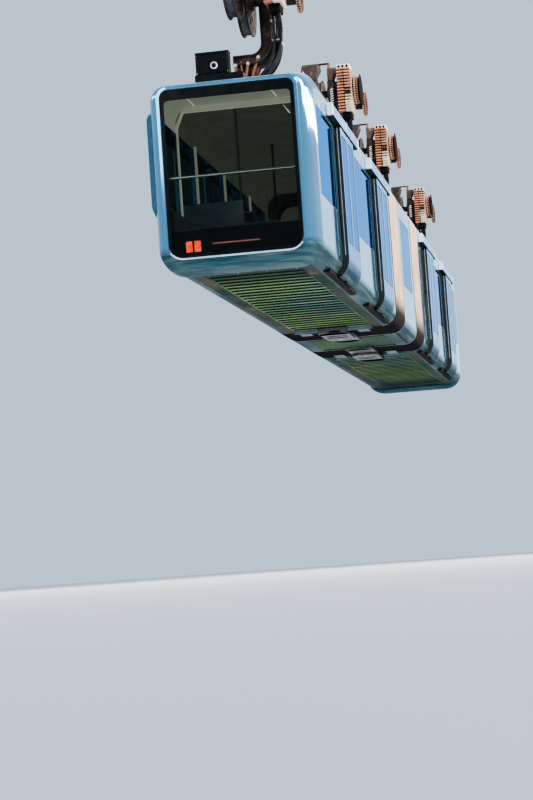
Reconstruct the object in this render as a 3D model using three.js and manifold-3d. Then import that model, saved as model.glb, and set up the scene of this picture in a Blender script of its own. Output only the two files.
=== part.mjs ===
// Three-section articulated suspended monorail car, in millimetres.
// +X is the direction of travel, +Y is left, +Z is up. The origin lies on the rail's
// centreline, level with the rail head, halfway along the car.
import * as THREE from 'three';
import Module from 'manifold-3d';

const wasm = await Module();
wasm.setup();

// ---------- driving dimensions ----------
const GAP = 0.3;                 // clearance between two pieces that touch
const HALF_LENGTH = 12030;       // rear face to the middle of the car
const END_LEN = 9500;            // each end section, face to gangway
const GANGWAY = 1450;            // each gangway
const FLOOR_Z = -3550;           // underside of the floor, below the rail head
const HALF_W = 1100;             // body, without door leaves
const ROOF_H = 2620;             // roof edge above the floor's underside
const ROOF_CROWN = 15;
const WALL = 60;
const FLOOR_T = 120;             // floor thickness
const CEILING_H = 2480;
const NOSE_END = 600;            // where the nose moulding meets the side panels
const ROOF_SPLIT = 2190;         // wall top, roof panel bottom
const FOOT_Y = 850;              // floor panel's half width
const FLAT_Y = 690;              // flat part of the floor's underside

// face window, measured from the face (u) and the floor's underside (z)
const FACE = { halfWidth: 908, bottom: 106, top: 2381, radius: 110, ledgeRadius: 90, glass: 24, ledge: 40 };

// doors, measured from the face of each end section
const DOOR = { headerLen: 2889, leafPair: 1440, clear: 1250, leafGap: 5, bottom: 125, top: 2090 };
const LEAF = { top: 2150, in: 12, out: 90, arcEnd: 52, cornerR: 250, cornerZ: 270,
  hangerEnd: 20, hangerIn: 40, hangerOut: 60, frame: 70, recess: 8, glassBottom: 430, glassTop: 2070 };
const HEADER = { yIn: 1010, yOut: 1193, bottom: 2198.2, top: 2370 };
const GUIDE = { yIn: 895, yOut: 1000, bottom: -12, top: 90 };
const DOOR_STARTS = [1774, 6257];          // near end of each header

// windows
const PANE = { bottom: 900, top: 2140, thick: 24, lip: 35, blind: 4 };
const RIGHT_PANES = [['a', 650, 2290], ['b', 4200, 6750]];
const BLIND_PANE = [8660, 9290];           // narrow dark panel by the gangway
const LEFT_HOLES = [[700, 2900], [3010, 5210], [5320, 7520], [7630, 9180]];
const LEFT_HOLE = { bottom: 860, top: 2120 };
const MID_PANE = 760;                      // half length of the middle section's windows
const BAND = { depth: 95, skin: 12, u0: 330, u1: 9260, slope: 90, foot: 20,
  low: 700, lowBend: 775, faceLow: 880, faceHigh: 2100, highBend: 2165, high: 2185 };

// below the gangways: flat links that turn on a pin, and the rounded sill of each end section
const PIVOT = { half: 250, lowZ: [-95, -55], highZ: [-50, -10], pin: 50, clear: 0.6, step: 60, root: 420, farRoot: 350, weld: 10 };
const SILL = { back: 190, radius: 55 };
const BELLOWS = { pleats: 5, thick: 30, fold: 26, proud: 8, lowR: 258, bevel: 12 };

// inside: heights above the floor's top, lengths from the face
const BENCH = { nose: 150, bend: 480, u1: 1500, in: 620, crossU: 560, seat: [300, 420], backU: [640, 1480], back: 820,
  backT: 90, footU: [600, 1400], footIn: 420, footH: 370, lean: 0.55, box: [200, 500], boxHalf: 600 };
const HAND_RAIL = { u: 105, z: 1200, radius: 18 };
const SEAT = { beam: [1700, 8000], beamT: 60, beamZ: [300, 360], depth: 420, in: 150, low: 330, pad: 420, back: 980, backT: 80 };
const SEAT_ROWS = [[1750, 1], [2700, -1], [3350, 1], [4300, -1], [4950, 1], [5900, -1], [6550, 1], [7500, -1]];
const POLE = { at: [1760, 4965, 7485], y: 190, radius: 17 };
const PARTITION = { u: [1640, 1680], windows: [[-250, 850, 950, 2250, 80], [-850, -350, 950, 2150, 60]] };
const DESK = { profile: [[130, 0], [470, 0], [470, 580], [620, 740], [600, 810], [330, 880], [130, 820]], half: 760,
  knee: { u: [300, 700], half: 300, top: 680 } };
const DRIVER = { u: 1040, plinth: [140, 170, 60], stem: [55, 30, 360], cushion: [240, 250, 350, 460], back: [190, 300, 240, 1050] };
const LAMPS = { black: 470, corner: 100, plateT: 12, lens: 10, bar: [320, 258, 276], tail: [470, 690, 165, 330], head: [520, 760, 200, 320] };
const ROOF_BOX = { body: [700, 860, 50, 520, 2690, 3010], base: [690, 900, -140, 540, 2560, 2700],
  lensY: 260, lensZ: 2812, lensR: 52, lensIn: 34, lensU: [686, 696, 705] };

// bogies
const BOGIE_X = [-10420, -2770, 2770, 10420];
const WHEELBASE = 1100;
const WHEEL_R = 450;
const FLANGE_R = 485;
const AXLE_R = 60;
const PAD = { top: 2660, root: 2560, radius: 200 };   // roof pad that carries the bogie's post
const FRAME_IN = 300;                      // hanger plate, distance outboard of the rail
const FRAME_OUT = 420;
const HANGER = {
  plate: [[-800, 300], [-700, 230], [700, 230], [800, 300], [800, 600], [700, 670], [-700, 670], [-800, 600]],
  armHalf: 230, armTop: 660, bendZ: -240, bendY: 70, heelY: -110, heelTop: -470, heel: -590,
  postR: 105, postTop: -520, footR: 175, footH: 30, webT: 12, webIn: 20, boss: 130, bossOut: 12, bossIn: 25, bore: 0.6,
  webFore: [225, 130], webSide: [105, 120, -120, -330, -200], webTop: -560, webHeel: -400,
};
const DRIVE = { x0: -900, x1: -380, y0: 480, y1: 720, z0: 60, z1: 800, fins: 10, fin: 26, core: 22,
  cap: [10, 150, 10, 75], gearX: [120, 60], gearZ: 170, shaftX: -470, shaftZ: 480, shaftR: 58, shaftEnd: 850,
  disc: [225, 755, 815], guard: [275, 838, 850] };
const WHEEL = { half: 76, lip: 54, tread: 48, rimR: 400, rimY: 76, webR: [380, 160], webY: 56, hub: [100, 120], hubEnd: 150,
  stub: 10, brake: { hubR: 90, hubY: 740, radius: 215, from: 755, to: 810 } };

// ---------- materials ----------
const mat = (hex, roughness, metalness, extra = {}) => ({ hex, roughness, metalness, ...extra });
const LOOK = {
  body: mat(0x6fb2d6, 0.22, 0.45),
  roof: mat(0x86bfdc, 0.3, 0.4),
  floor: mat(0x8c9aa0, 0.3, 0.8),
  glass: mat(0x2e5a78, 0.05, 0.1, { transparent: true, opacity: 0.4 }),
  door: mat(0x5d9fca, 0.2, 0.4),
  bellows: mat(0x8a7c74, 0.85, 0),
  frame: mat(0x4a3026, 0.7, 0.4),
  drive: mat(0x9a5a3a, 0.65, 0.3),
  wheel: mat(0x4c4a49, 0.4, 0.9),
  black: mat(0x101315, 0.4, 0.1),
  lamp: mat(0xd0261a, 0.3, 0),
  white: mat(0xe8ecec, 0.3, 0),
  seat: mat(0x33414b, 0.85, 0),
  steel: mat(0xa9adad, 0.25, 0.9),
  lining: mat(0x9aa08e, 0.6, 0),
};

// ---------- solids ----------
function weld(positions, flipped = false) {
  const ids = new Map();
  const verts = [];
  const id = (x, y, z) => {
    const key = `${Math.round(x * 1e3)},${Math.round(y * 1e3)},${Math.round(z * 1e3)}`;
    if (!ids.has(key)) { ids.set(key, verts.length / 3); verts.push(x, y, z); }
    return ids.get(key);
  };
  const tris = [];
  for (let i = 0; i < positions.length; i += 9) {
    const [a, b, c] = [0, 3, 6].map((k) => id(positions[i + k], positions[i + k + 1], positions[i + k + 2]));
    if (a === b || b === c || c === a) continue;
    tris.push(...(flipped ? [a, c, b] : [a, b, c]));
  }
  return { verts, tris };
}

function signedVolume(p) {
  let v = 0;
  for (let i = 0; i < p.length; i += 9) {
    v += p[i] * (p[i + 4] * p[i + 8] - p[i + 5] * p[i + 7])
      - p[i + 1] * (p[i + 3] * p[i + 8] - p[i + 5] * p[i + 6])
      + p[i + 2] * (p[i + 3] * p[i + 7] - p[i + 4] * p[i + 6]);
  }
  return v;
}

function solid(geometry) {
  const flat = geometry.index ? geometry.toNonIndexed() : geometry;
  const p = flat.attributes.position.array;
  const { verts, tris } = weld(p, signedVolume(p) < 0);
  return new wasm.Manifold(new wasm.Mesh({
    numProp: 3, vertProperties: new Float32Array(verts), triVerts: new Uint32Array(tris),
  }));
}

function soup(positions) {
  const g = new THREE.BufferGeometry();
  g.setAttribute('position', new THREE.BufferAttribute(new Float32Array(positions), 3));
  return g;
}

const box = (x0, x1, y0, y1, z0, z1) => solid(
  new THREE.BoxGeometry(x1 - x0, y1 - y0, z1 - z0).translate((x0 + x1) / 2, (y0 + y1) / 2, (z0 + z1) / 2));

// a polygon swept along one axis: 'x' takes (y, z) points, 'y' takes (x, z), 'z' takes (x, y)
function prism(axis, pts, a, b) {
  const shape = new THREE.Shape(pts.map(([p, q]) => new THREE.Vector2(p, q)));
  const g = new THREE.ExtrudeGeometry(shape, { depth: b - a, bevelEnabled: false });
  const m = new THREE.Matrix4();
  if (axis === 'x') m.set(0, 0, 1, a, 1, 0, 0, 0, 0, 1, 0, 0, 0, 0, 0, 1);
  else if (axis === 'y') m.set(1, 0, 0, 0, 0, 0, -1, b, 0, 1, 0, 0, 0, 0, 0, 1);
  else m.makeTranslation(0, 0, a);
  return solid(g.applyMatrix4(m));
}

// a round bar about a line parallel to 'x', 'y' or 'z' through (p, q)
function bar(axis, p, q, r, a, b, sides = 24) {
  const g = new THREE.CylinderGeometry(r, r, b - a, sides);
  const mid = (a + b) / 2;
  if (axis === 'x') g.rotateZ(Math.PI / 2).translate(mid, p, q);
  else if (axis === 'y') g.translate(p, mid, q);
  else g.rotateX(Math.PI / 2).translate(p, q, mid);
  return solid(g);
}

// a turned piece about a line parallel to Y through (x, z); profile is [radius, y]
const turned = (profile, x, z, sides = 32) => solid(
  new THREE.LatheGeometry(profile.map(([r, y]) => new THREE.Vector2(r, y)), sides).translate(x, 0, z));

// closed skin through sections of equally many [y, z] points, each section at its own x
function loft(sections) {
  const p = [];
  const put = (s, i) => p.push(s.u, s.pts[i % s.pts.length][0], s.pts[i % s.pts.length][1]);
  for (let k = 0; k + 1 < sections.length; k += 1) {
    const [s, t] = [sections[k], sections[k + 1]];
    for (let i = 0; i < s.pts.length; i += 1) {
      put(s, i); put(s, i + 1); put(t, i + 1);
      put(s, i); put(t, i + 1); put(t, i);
    }
  }
  const [first, last] = [sections[0], sections.at(-1)];
  for (let i = 1; i + 1 < first.pts.length; i += 1) {
    put(first, 0); put(first, i + 1); put(first, i);
    put(last, 0); put(last, i); put(last, i + 1);
  }
  return solid(soup(p));
}

const arc = (cy, cz, r, from, to, steps) => Array.from({ length: steps + 1 }, (_, i) => {
  const t = THREE.MathUtils.degToRad(from + ((to - from) * i) / steps);
  return [cy + r * Math.cos(t), cz + r * Math.sin(t)];
});

const mirrorY = (pts) => pts.map(([y, z]) => [-y, z]).reverse();

// body outline: flat floor, shallow bevel, round lower corner, upright side, round shoulder, crown
function outline({ halfWidth: w, bottom, top, lowR, topR, bevel }, steps) {
  const side = [
    [Math.min(FLAT_Y, w - lowR - 15), bottom],
    ...arc(w - lowR, bottom + bevel + lowR, lowR, -90, 0, steps),
    ...arc(w - topR, top - topR, topR, 0, 90, steps),
  ];
  return [...side, [0, top + ROOF_CROWN], ...mirrorY(side)];
}

function roundRect(y0, y1, z0, z1, r, steps = 6) {
  return [
    ...arc(y1 - r, z0 + r, r, -90, 0, steps), ...arc(y1 - r, z1 - r, r, 0, 90, steps),
    ...arc(y0 + r, z1 - r, r, 90, 180, steps), ...arc(y0 + r, z0 + r, r, 180, 270, steps),
  ];
}

// ---------- body of one end section, u from its face ----------
const OUTER = [
  // u, half width, bottom, top, lower radius, shoulder radius, bevel
  [0, 955, 20, 2425, 200, 140, 0],
  [22, 997, -20, 2440, 240, 165, 0],
  [75, 1043, -62, 2453, 285, 195, 0],
  [190, 1082, -88, 2478, 325, 225, 0],
  [390, 1099, -95, 2521, 335, 250, 2],
  [560, 1100, -85, 2558, 310, 260, 5],
  [NOSE_END, 1100, 0, 2567, 250, 262, 20],
  [840, 1100, 0, ROOF_H, 250, 270, 20],
  [END_LEN, HALF_W, 0, ROOF_H, 250, 270, 20],
].map(([u, halfWidth, bottom, top, lowR, topR, bevel]) => ({ u, halfWidth, bottom, top, lowR, topR, bevel }));

const CORNER_STEPS = 6;
const outerBody = (rows, lift = 0) => loft(rows.map((s) => ({
  u: s.u, pts: outline({ ...s, top: s.top + lift, bottom: s.bottom - lift, halfWidth: s.halfWidth + lift }, CORNER_STEPS),
})));

// cabin space: floor, walls and a ceiling with slanted sides
const INNER = [
  // u, half width, ceiling, slant width
  [46, 925, 2345, 130],
  [130, 1000, 2375, 180],
  [320, 1035, 2405, 220],
  [NOSE_END, HALF_W - WALL, 2440, 240],
  [840, HALF_W - WALL, CEILING_H, 240],
  [END_LEN + 50, HALF_W - WALL, CEILING_H, 240],
].map(([u, halfWidth, ceiling, slant]) => ({ u, halfWidth, ceiling, slant }));

const CABIN = { foot: 190, slantDrop: 260 };
function cabinOutline({ halfWidth, ceiling, slant }, gap) {
  const { foot, slantDrop } = CABIN;
  const w = halfWidth - gap;
  const side = [...arc(w - foot, FLOOR_T + gap + foot, foot, -90, 0, CORNER_STEPS), [w, ceiling - gap - slantDrop], [w - slant, ceiling - gap]];
  return [...side, ...mirrorY(side)];
}
const cabinSpace = (rows, gap = 0) => loft(rows.map((s) => ({ u: s.u, pts: cabinOutline(s, gap) })));

const FAR = 9999;                          // well past every piece
const pieces = {};                         // local solids of an end section

function buildEndSection() {
  const shell = outerBody(OUTER).subtract(cabinSpace(INNER));
  const skin = outerBody(OUTER, GAP);      // for pieces that sit on the body
  const h = GAP / 2;

  // nose: window opening with a ledge for the glass
  const f = FACE;
  const seat = prism('x', roundRect(-f.halfWidth, f.halfWidth, f.bottom, f.top, f.radius), -FAR, f.glass + GAP);
  const through = prism('x', roundRect(-f.halfWidth + f.ledge, f.halfWidth - f.ledge, f.bottom + f.ledge, f.top - f.ledge, f.ledgeRadius), -FAR, 90);
  pieces.nose = shell.intersect(box(-FAR, NOSE_END, -FAR, FAR, -FAR, FAR)).subtract(seat).subtract(through);
  pieces.windscreen = prism('x', roundRect(-f.halfWidth + GAP, f.halfWidth - GAP, f.bottom + GAP, f.top - GAP, f.radius), 0, f.glass);

  // side, floor and roof panels
  const u0 = NOSE_END + GAP;
  let right = shell.intersect(box(u0, FAR, -FAR, -FOOT_Y - h, -FAR, ROOF_SPLIT - h));
  let left = shell.intersect(box(u0, FAR, FOOT_Y + h, FAR, -FAR, ROOF_SPLIT - h));
  let floor = shell.intersect(box(u0, FAR, -FOOT_Y + h, FOOT_Y - h, -FAR, ROOF_SPLIT / 2));
  let roof = shell.intersect(box(u0, FAR, -FAR, FAR, ROOF_SPLIT + h, FAR));

  // roof: door header boxes and round pads for the bogie posts
  DOOR_STARTS.forEach((s) => { roof = roof.add(box(s, s + DOOR.headerLen, -HEADER.yOut, -HEADER.yIn, HEADER.bottom, HEADER.top)); });
  [HALF_LENGTH + BOGIE_X[0], HALF_LENGTH + BOGIE_X[1]].forEach((u) => { roof = roof.add(bar('z', u, 0, PAD.radius, PAD.root, PAD.top, 20)); });

  // right wall: doorways, lower guide rails, windows
  const panes = {};
  DOOR_STARTS.forEach((s) => {
    const mid = s + DOOR.headerLen / 2;
    right = right.subtract(box(mid - DOOR.clear / 2, mid + DOOR.clear / 2, -FAR, 0, DOOR.bottom, DOOR.top));
    right = right.add(box(s, s + DOOR.headerLen, -GUIDE.yOut, -GUIDE.yIn, GUIDE.bottom, GUIDE.top));
  });
  const glazed = (wall, sign, a, b) => {
    const ys = (p, q) => (sign > 0 ? [p, q] : [-q, -p]);
    const [o0, o1] = ys(HALF_W - PANE.thick - GAP, FAR);
    const [t0, t1] = ys(0, FAR);
    const [g0, g1] = ys(HALF_W - PANE.thick, HALF_W);
    const l = PANE.lip;
    return {
      wall: wall.subtract(box(a, b, o0, o1, PANE.bottom, PANE.top)).subtract(box(a + l, b - l, t0, t1, PANE.bottom + l, PANE.top - l)),
      pane: box(a + GAP, b - GAP, g0, g1, PANE.bottom + GAP, PANE.top - GAP),
    };
  };
  RIGHT_PANES.forEach(([name, a, b]) => {
    const r = glazed(right, -1, a, b);
    right = r.wall;
    panes[name] = r.pane;
  });
  right = right.subtract(box(BLIND_PANE[0], BLIND_PANE[1], -FAR, -HALF_W + PANE.blind, PANE.bottom, PANE.top));

  // left wall: four openings behind one raised glass band
  LEFT_HOLES.forEach(([a, b]) => { left = left.subtract(box(a, b, 0, FAR, LEFT_HOLE.bottom, LEFT_HOLE.top)); });

  // floor: rounded end sill and the rear half of the gangway's pivot
  floor = floor.add(bar('y', END_LEN - SILL.back, 0, SILL.radius, -FLAT_Y, FLAT_Y, 12));
  Object.assign(pieces, { right, left, roof, skin, floor: floor.add(pivotPlate('lower')) });
  pieces.pane_a = panes.a;
  pieces.pane_b = panes.b;
  pieces.band = glassBand(BAND.u0, BAND.u1);
}

// raised glass band on the left side, hollow towards the wall, with slanted ends and edges
function glassBand(a, b) {
  const { depth: d, skin, slope, foot, low, lowBend, faceLow, faceHigh, highBend, high } = BAND;
  const wall = HALF_W + GAP;
  const rows = (inset, depth) => [
    [a + inset, 2], [a + inset + slope, depth], [b - inset - slope, depth], [b - inset, 2]].map(([u, out]) => ({
    u, pts: [[wall - (inset ? foot : 0), low + inset], [wall + out * 0.55, lowBend + inset * 0.7],
      [wall + out, faceLow + inset * 0.3], [wall + out, faceHigh - inset * 0.3],
      [wall + out * 0.8, highBend - inset * 0.7], [wall - (inset ? foot : 0), high - inset]],
  }));
  return loft(rows(0, d)).subtract(loft(rows(skin, d - skin)));
}

// flat links below the gangway, turning on a pin at its middle
function pivotPlate(level) {
  const { half, lowZ, highZ, pin, clear, step, root, farRoot, weld: join } = PIVOT;
  const u = END_LEN + GANGWAY / 2;
  if (level === 'lower') {
    const near = END_LEN - root;
    const plan = [[near, -half], [u, -half], ...arc(u, 0, half, -80, 80, 8), [u, half], [near, half]];
    return prism('z', plan, lowZ[0], lowZ[1])
      .add(box(near, END_LEN - step, -half, half, lowZ[0], join))
      .subtract(bar('z', u, 0, pin + clear, lowZ[0] - join, lowZ[1] + join));
  }
  const far = END_LEN + GANGWAY + farRoot;
  const plan = [[far, half], [u, half], ...arc(u, 0, half, 100, 260, 8), [u, -half], [far, -half]];
  return prism('z', plan, highZ[0], highZ[1])
    .add(box(END_LEN + GANGWAY + step, far, -half, half, highZ[0], join))
    .add(bar('z', u, 0, pin, lowZ[0] - join / 2, highZ[0] + join / 2));
}

function buildMiddle() {
  const a = END_LEN + GANGWAY + GAP;
  const b = 2 * HALF_LENGTH - a;
  const rows = [{ ...OUTER.at(-1), u: a }, { ...OUTER.at(-1), u: b }];
  const inner = [{ ...INNER.at(-1), u: a - WALL }, { ...INNER.at(-1), u: b + WALL }];
  let shell = outerBody(rows).subtract(cabinSpace(inner));
  const [w0, w1] = [HALF_LENGTH - MID_PANE, HALF_LENGTH + MID_PANE];
  shell = shell.subtract(box(w0, w1, -FAR, -HALF_W + PANE.thick + GAP, PANE.bottom, PANE.top))
    .subtract(box(w0 + PANE.lip, w1 - PANE.lip, -FAR, 0, PANE.bottom + PANE.lip, PANE.top - PANE.lip))
    .subtract(box(w0, w1, 0, FAR, LEFT_HOLE.bottom, LEFT_HOLE.top));
  const high = pivotPlate('upper');
  pieces.mid = shell.add(high).add(swapEnds(high));
  pieces.mid_pane = box(w0 + GAP, w1 - GAP, -HALF_W, -HALF_W + PANE.thick, PANE.bottom + GAP, PANE.top - GAP);
  pieces.mid_band = glassBand(a + 30, b - 30);
}

// pleated bellows: same outline as the body, ridges and valleys in turn
function buildBellows() {
  const [a, b] = [END_LEN + GAP, END_LEN + GANGWAY - GAP];
  const { pleats, thick, fold, proud, lowR, bevel } = BELLOWS;
  const ridge = { halfWidth: HALF_W + proud, bottom: 0, top: ROOF_H - proud, lowR, topR: OUTER.at(-1).topR, bevel };
  const rows = (inset) => Array.from({ length: 2 * pleats + 1 }, (_, i) => {
    const s = inset + (i % 2 ? fold : 0);
    const over = inset ? (i === 0 ? -thick : 0) + (i === 2 * pleats ? thick : 0) : 0;
    return { u: a + ((b - a) * i) / (2 * pleats) + over,
      pts: outline({ ...ridge, halfWidth: ridge.halfWidth - s, bottom: ridge.bottom + s, top: ridge.top - s }, 4) };
  });
  pieces.bellows = loft(rows(0)).subtract(loft(rows(thick)));
}

// ---------- doors ----------
function buildLeaf(u0, u1) {
  const { cornerR: r, cornerZ } = LEAF;
  const cy = HALF_W - r;
  const pts = [[HALF_W + LEAF.out, LEAF.top], [HALF_W + LEAF.in, LEAF.top],
    ...arc(cy, cornerZ, r + LEAF.in, 0, -LEAF.arcEnd, 5), ...arc(cy, cornerZ, r + LEAF.out, -LEAF.arcEnd, 0, 5)];
  const face = -HALF_W - LEAF.out;
  return prism('x', mirrorY(pts), u0, u1)
    .add(box(u0 + LEAF.hangerEnd, u1 - LEAF.hangerEnd, -HALF_W - LEAF.hangerOut, -HALF_W - LEAF.hangerIn, LEAF.top - LEAF.recess, HEADER.bottom - GAP))
    .subtract(box(u0 + LEAF.frame, u1 - LEAF.frame, -FAR, face + LEAF.recess, LEAF.glassBottom, LEAF.glassTop));
}

// ---------- inside ----------
function buildInterior() {
  const f0 = FLOOR_T;
  const wallY = HALF_W - WALL;
  const fit = cabinSpace(INNER, GAP);     // whatever touches the lining is cut back to it
  // rear lounge: a bench along each side joined across the window
  const n = BENCH;
  const plan = [[n.nose, -wallY + 110], [n.bend, -wallY], [n.u1, -wallY], [n.u1, -n.in], [n.crossU, -n.in]];
  const foot = (sign) => prism('x', [[0, 0], [n.footIn, 0], [n.footIn, n.footH], [0, n.footH]]
    .map(([y, z]) => [sign * (n.in + y * n.lean), f0 + z]), n.footU[0], n.footU[1]);
  const back = (y0, y1) => box(n.backU[0], n.backU[1], y0, y1, f0 + n.seat[0], f0 + n.back);
  pieces.bench = prism('z', [...plan, ...mirrorV(plan)], f0 + n.seat[0], f0 + n.seat[1]).add(foot(1)).add(foot(-1))
    .add(back(wallY - n.backT, wallY)).add(back(-wallY, -wallY + n.backT))
    .add(box(n.box[0], n.box[1], -n.boxHalf, n.boxHalf, f0, f0 + (n.seat[0] + n.seat[1]) / 2)).intersect(fit);
  // hand rail across the face window
  pieces.rail = bar('y', HAND_RAIL.u, HAND_RAIL.z, HAND_RAIL.radius, -HALF_W, HALF_W, 10).intersect(fit);
  // seats along the left wall on one wall beam, with poles to the ceiling
  const c = SEAT;
  let seats = box(c.beam[0], c.beam[1], wallY - c.beamT, wallY, f0 + c.beamZ[0], f0 + c.beamZ[1]);
  SEAT_ROWS.forEach(([at, dir]) => {
    const [a, b] = dir > 0 ? [at, at + c.depth] : [at - c.depth, at];
    const r = c.backT / 4;
    const rest = dir > 0 ? [at - 3 * r, at + r] : [at - r, at + 3 * r];
    seats = seats.add(box(a, b, c.in, wallY - r / 2, f0 + c.low, f0 + c.pad)).add(box(rest[0], rest[1], c.in, wallY - r / 2, f0 + c.low, f0 + c.back));
  });
  POLE.at.forEach((at) => { seats = seats.add(bar('z', at, POLE.y, POLE.radius, f0, CEILING_H, 8)); });
  pieces.seats = seats.intersect(fit);
  // cab: partition with two windows, desk with a knee space, driver's seat
  pieces.partition = PARTITION.windows.reduce(
    (m, [y0, y1, z0, z1, r]) => m.subtract(prism('x', roundRect(y0, y1, z0, z1, r, 3), 0, FAR)),
    fit.intersect(box(PARTITION.u[0], PARTITION.u[1], -FAR, FAR, -FAR, FAR)));
  const k = DESK.knee;
  pieces.desk = prism('y', DESK.profile.map(([u, z]) => [u, z + f0]), -DESK.half, DESK.half)
    .subtract(box(k.u[0], k.u[1], -k.half, k.half, 0, f0 + k.top)).intersect(fit);
  const d = DRIVER;
  pieces.driver_seat = box(d.u - d.plinth[0], d.u + d.plinth[0], -d.plinth[1], d.plinth[1], f0 + GAP, f0 + d.plinth[2])
    .add(bar('z', d.u, 0, d.stem[0], f0 + d.stem[1], f0 + d.stem[2], 12))
    .add(box(d.u - d.cushion[0], d.u + d.cushion[0], -d.cushion[1], d.cushion[1], f0 + d.cushion[2], f0 + d.cushion[3]))
    .add(box(d.u + d.back[0], d.u + d.back[1], -d.back[2], d.back[2], f0 + d.cushion[2], f0 + d.back[3]));
  // lamp panel behind the lower, black part of the face window
  const l = FACE.glass + 2 * GAP;
  const y1 = FACE.halfWidth - FACE.ledge - GAP;
  const plate = prism('x', roundRect(-y1, y1, FACE.bottom + FACE.ledge + GAP, LAMPS.black, LAMPS.corner, 5), l + LAMPS.lens - 2, l + LAMPS.lens - 2 + LAMPS.plateT);
  const lamp = (y0, y1b, z0, z1) => box(l, l + LAMPS.lens, y0, y1b, z0, z1);
  const [half, z0, z1] = LAMPS.bar;
  const [h0, h1, ...headZ] = LAMPS.head;
  pieces.lamp_panel = plate.add(lamp(...LAMPS.tail)).add(lamp(-half, half, z0, z1));
  pieces.headlamp_panel = plate.add(lamp(h0, h1, ...headZ)).add(lamp(-h1, -h0, ...headZ)).add(lamp(-half, half, z0, z1));
}

const mirrorV = (pts) => pts.map(([u, y]) => [u, -y]).reverse();

// camera box on the roof's rear edge
function buildRoofBox() {
  const { body, base, lensY, lensZ, lensR, lensIn, lensU } = ROOF_BOX;
  pieces.roof_box = box(...body).add(bar('x', lensY, lensZ, lensR, lensU[0], lensU[2], 20))
    .subtract(bar('x', lensY, lensZ, lensIn, 0, lensU[1], 20)).add(box(...base)).subtract(pieces.skin);
}

// ---------- bogie, x from its centre, z from the rail head ----------
function buildBogie() {
  const half = WHEELBASE / 2;
  const zAxle = WHEEL_R;
  const [yi, yo] = [FRAME_IN, FRAME_OUT];
  // hanger: side plate, C-shaped arm round the rail beam, post down to the roof pad, two webs
  const h = HANGER;
  const arm = prism('x', mirrorY([[yo, h.armTop], [yi, h.armTop], [yi, h.bendZ], ...arc(h.bendY, h.bendZ, yi - h.bendY, 0, -90, 6),
    [h.heelY, h.heelTop], [h.heelY, h.heel], ...arc(h.bendY, h.bendZ, yo - h.bendY, -90, 0, 6)]), -h.armHalf, h.armHalf);
  const foot = FLOOR_Z + PAD.top + GAP;
  const webFoot = foot + h.webIn;
  const [top, bottom] = h.webFore;
  const [s0, s1, s2, s3, s4] = h.webSide;
  let frame = prism('y', h.plate, -yo, -yi).add(arm)
    .add(bar('z', 0, 0, h.postR, foot, h.postTop, 16)).add(bar('z', 0, 0, h.footR, foot, foot + h.footH, 16))
    .add(prism('y', [[-top, h.webTop], [-bottom, webFoot], [bottom, webFoot], [top, h.webTop]], -h.webT, h.webT))
    .add(prism('x', [[s0, h.webTop], [s1, webFoot], [s2, webFoot], [s3, h.webHeel], [s4, h.webTop]], -h.webT, h.webT));
  [-half, half].forEach((x) => {
    frame = frame.add(bar('y', x, zAxle, h.boss, -yo - h.bossOut, -yi + h.bossIn, 16))
      .subtract(bar('y', x, zAxle, AXLE_R + h.bore, -yo - 2 * h.boss, -yi + 2 * h.bossIn, 24));
  });
  pieces.frame = frame;

  // drive: finned motor case, top plate, gear case, output disc with its thin guard disc
  const m = DRIVE;
  let drive = box(m.x0 + m.core, m.x1 - m.core, -m.y1 + m.core, -m.y0, m.z0, m.z1);
  for (let i = 0; i < m.fins; i += 1) {
    const z = m.z0 + ((m.z1 - m.z0 - m.fin) * i) / (m.fins - 1);
    drive = drive.add(box(m.x0, m.x1, -m.y1, -m.y0 + 10, z, z + m.fin));
  }
  const [c0, c1, cy, cz] = m.cap;
  drive = drive.add(box(m.x0 + c0, m.x1 - c1, -m.y1 + cy, -m.y0 - cy, m.z1 - cy, m.z1 + cz))
    .add(box(m.x0 + m.gearX[0], m.x1 - m.gearX[1], -m.y0 - cy, -yo - h.bossOut - GAP, zAxle - m.gearZ, zAxle + m.gearZ))
    .add(bar('y', m.shaftX, m.shaftZ, m.shaftR, -m.shaftEnd, -m.y1 + m.core + cy / 2, 16));
  [m.disc, m.guard].forEach(([r, near, far]) => { drive = drive.add(bar('y', m.shaftX, m.shaftZ, r, -far, -near, 20)); });
  pieces.drive = drive;

  // wheels: flange, tread, flange, axle stub; the front one carries a brake disc outboard
  const w = WHEEL;
  const tyre = [[0, w.half], [FLANGE_R, w.half], [FLANGE_R, w.lip], [WHEEL_R, w.tread], [WHEEL_R, -w.tread],
    [FLANGE_R, -w.lip], [FLANGE_R, -w.half], [w.rimR, -w.rimY], [w.webR[0], -w.webY], [w.webR[1], -w.webY], [w.hub[0], -w.hub[1]], [AXLE_R, -w.hubEnd]];
  const b = w.brake;
  pieces.wheel_rear = turned([...tyre, [AXLE_R, -yo - w.stub], [0, -yo - w.stub]], -half, zAxle, 24);
  pieces.wheel_front = turned([...tyre, [AXLE_R, -b.hubY], [b.hubR, -b.hubY], [b.hubR, -b.from], [b.radius, -b.from], [b.radius, -b.to], [0, -b.to]], half, zAxle, 24);
}

// ---------- placing ----------
const group = new THREE.Group();
group.name = 'suspended_monorail_car';

function place(manifold, map, flipped) {
  const mesh = manifold.getMesh();
  const out = [];
  const v = mesh.vertProperties;
  for (let i = 0; i < mesh.triVerts.length; i += 3) {
    const order = flipped ? [0, 2, 1] : [0, 1, 2];
    order.forEach((k) => {
      const t = mesh.triVerts[i + k] * mesh.numProp;
      out.push(...map(v[t], v[t + 1], v[t + 2]));
    });
  }
  return soup(out);
}

// swaps the two ends of the car in local coordinates
function swapEnds(manifold) {
  return solid(place(manifold, (u, y, z) => [2 * HALF_LENGTH - u, y, z], true));
}

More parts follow.
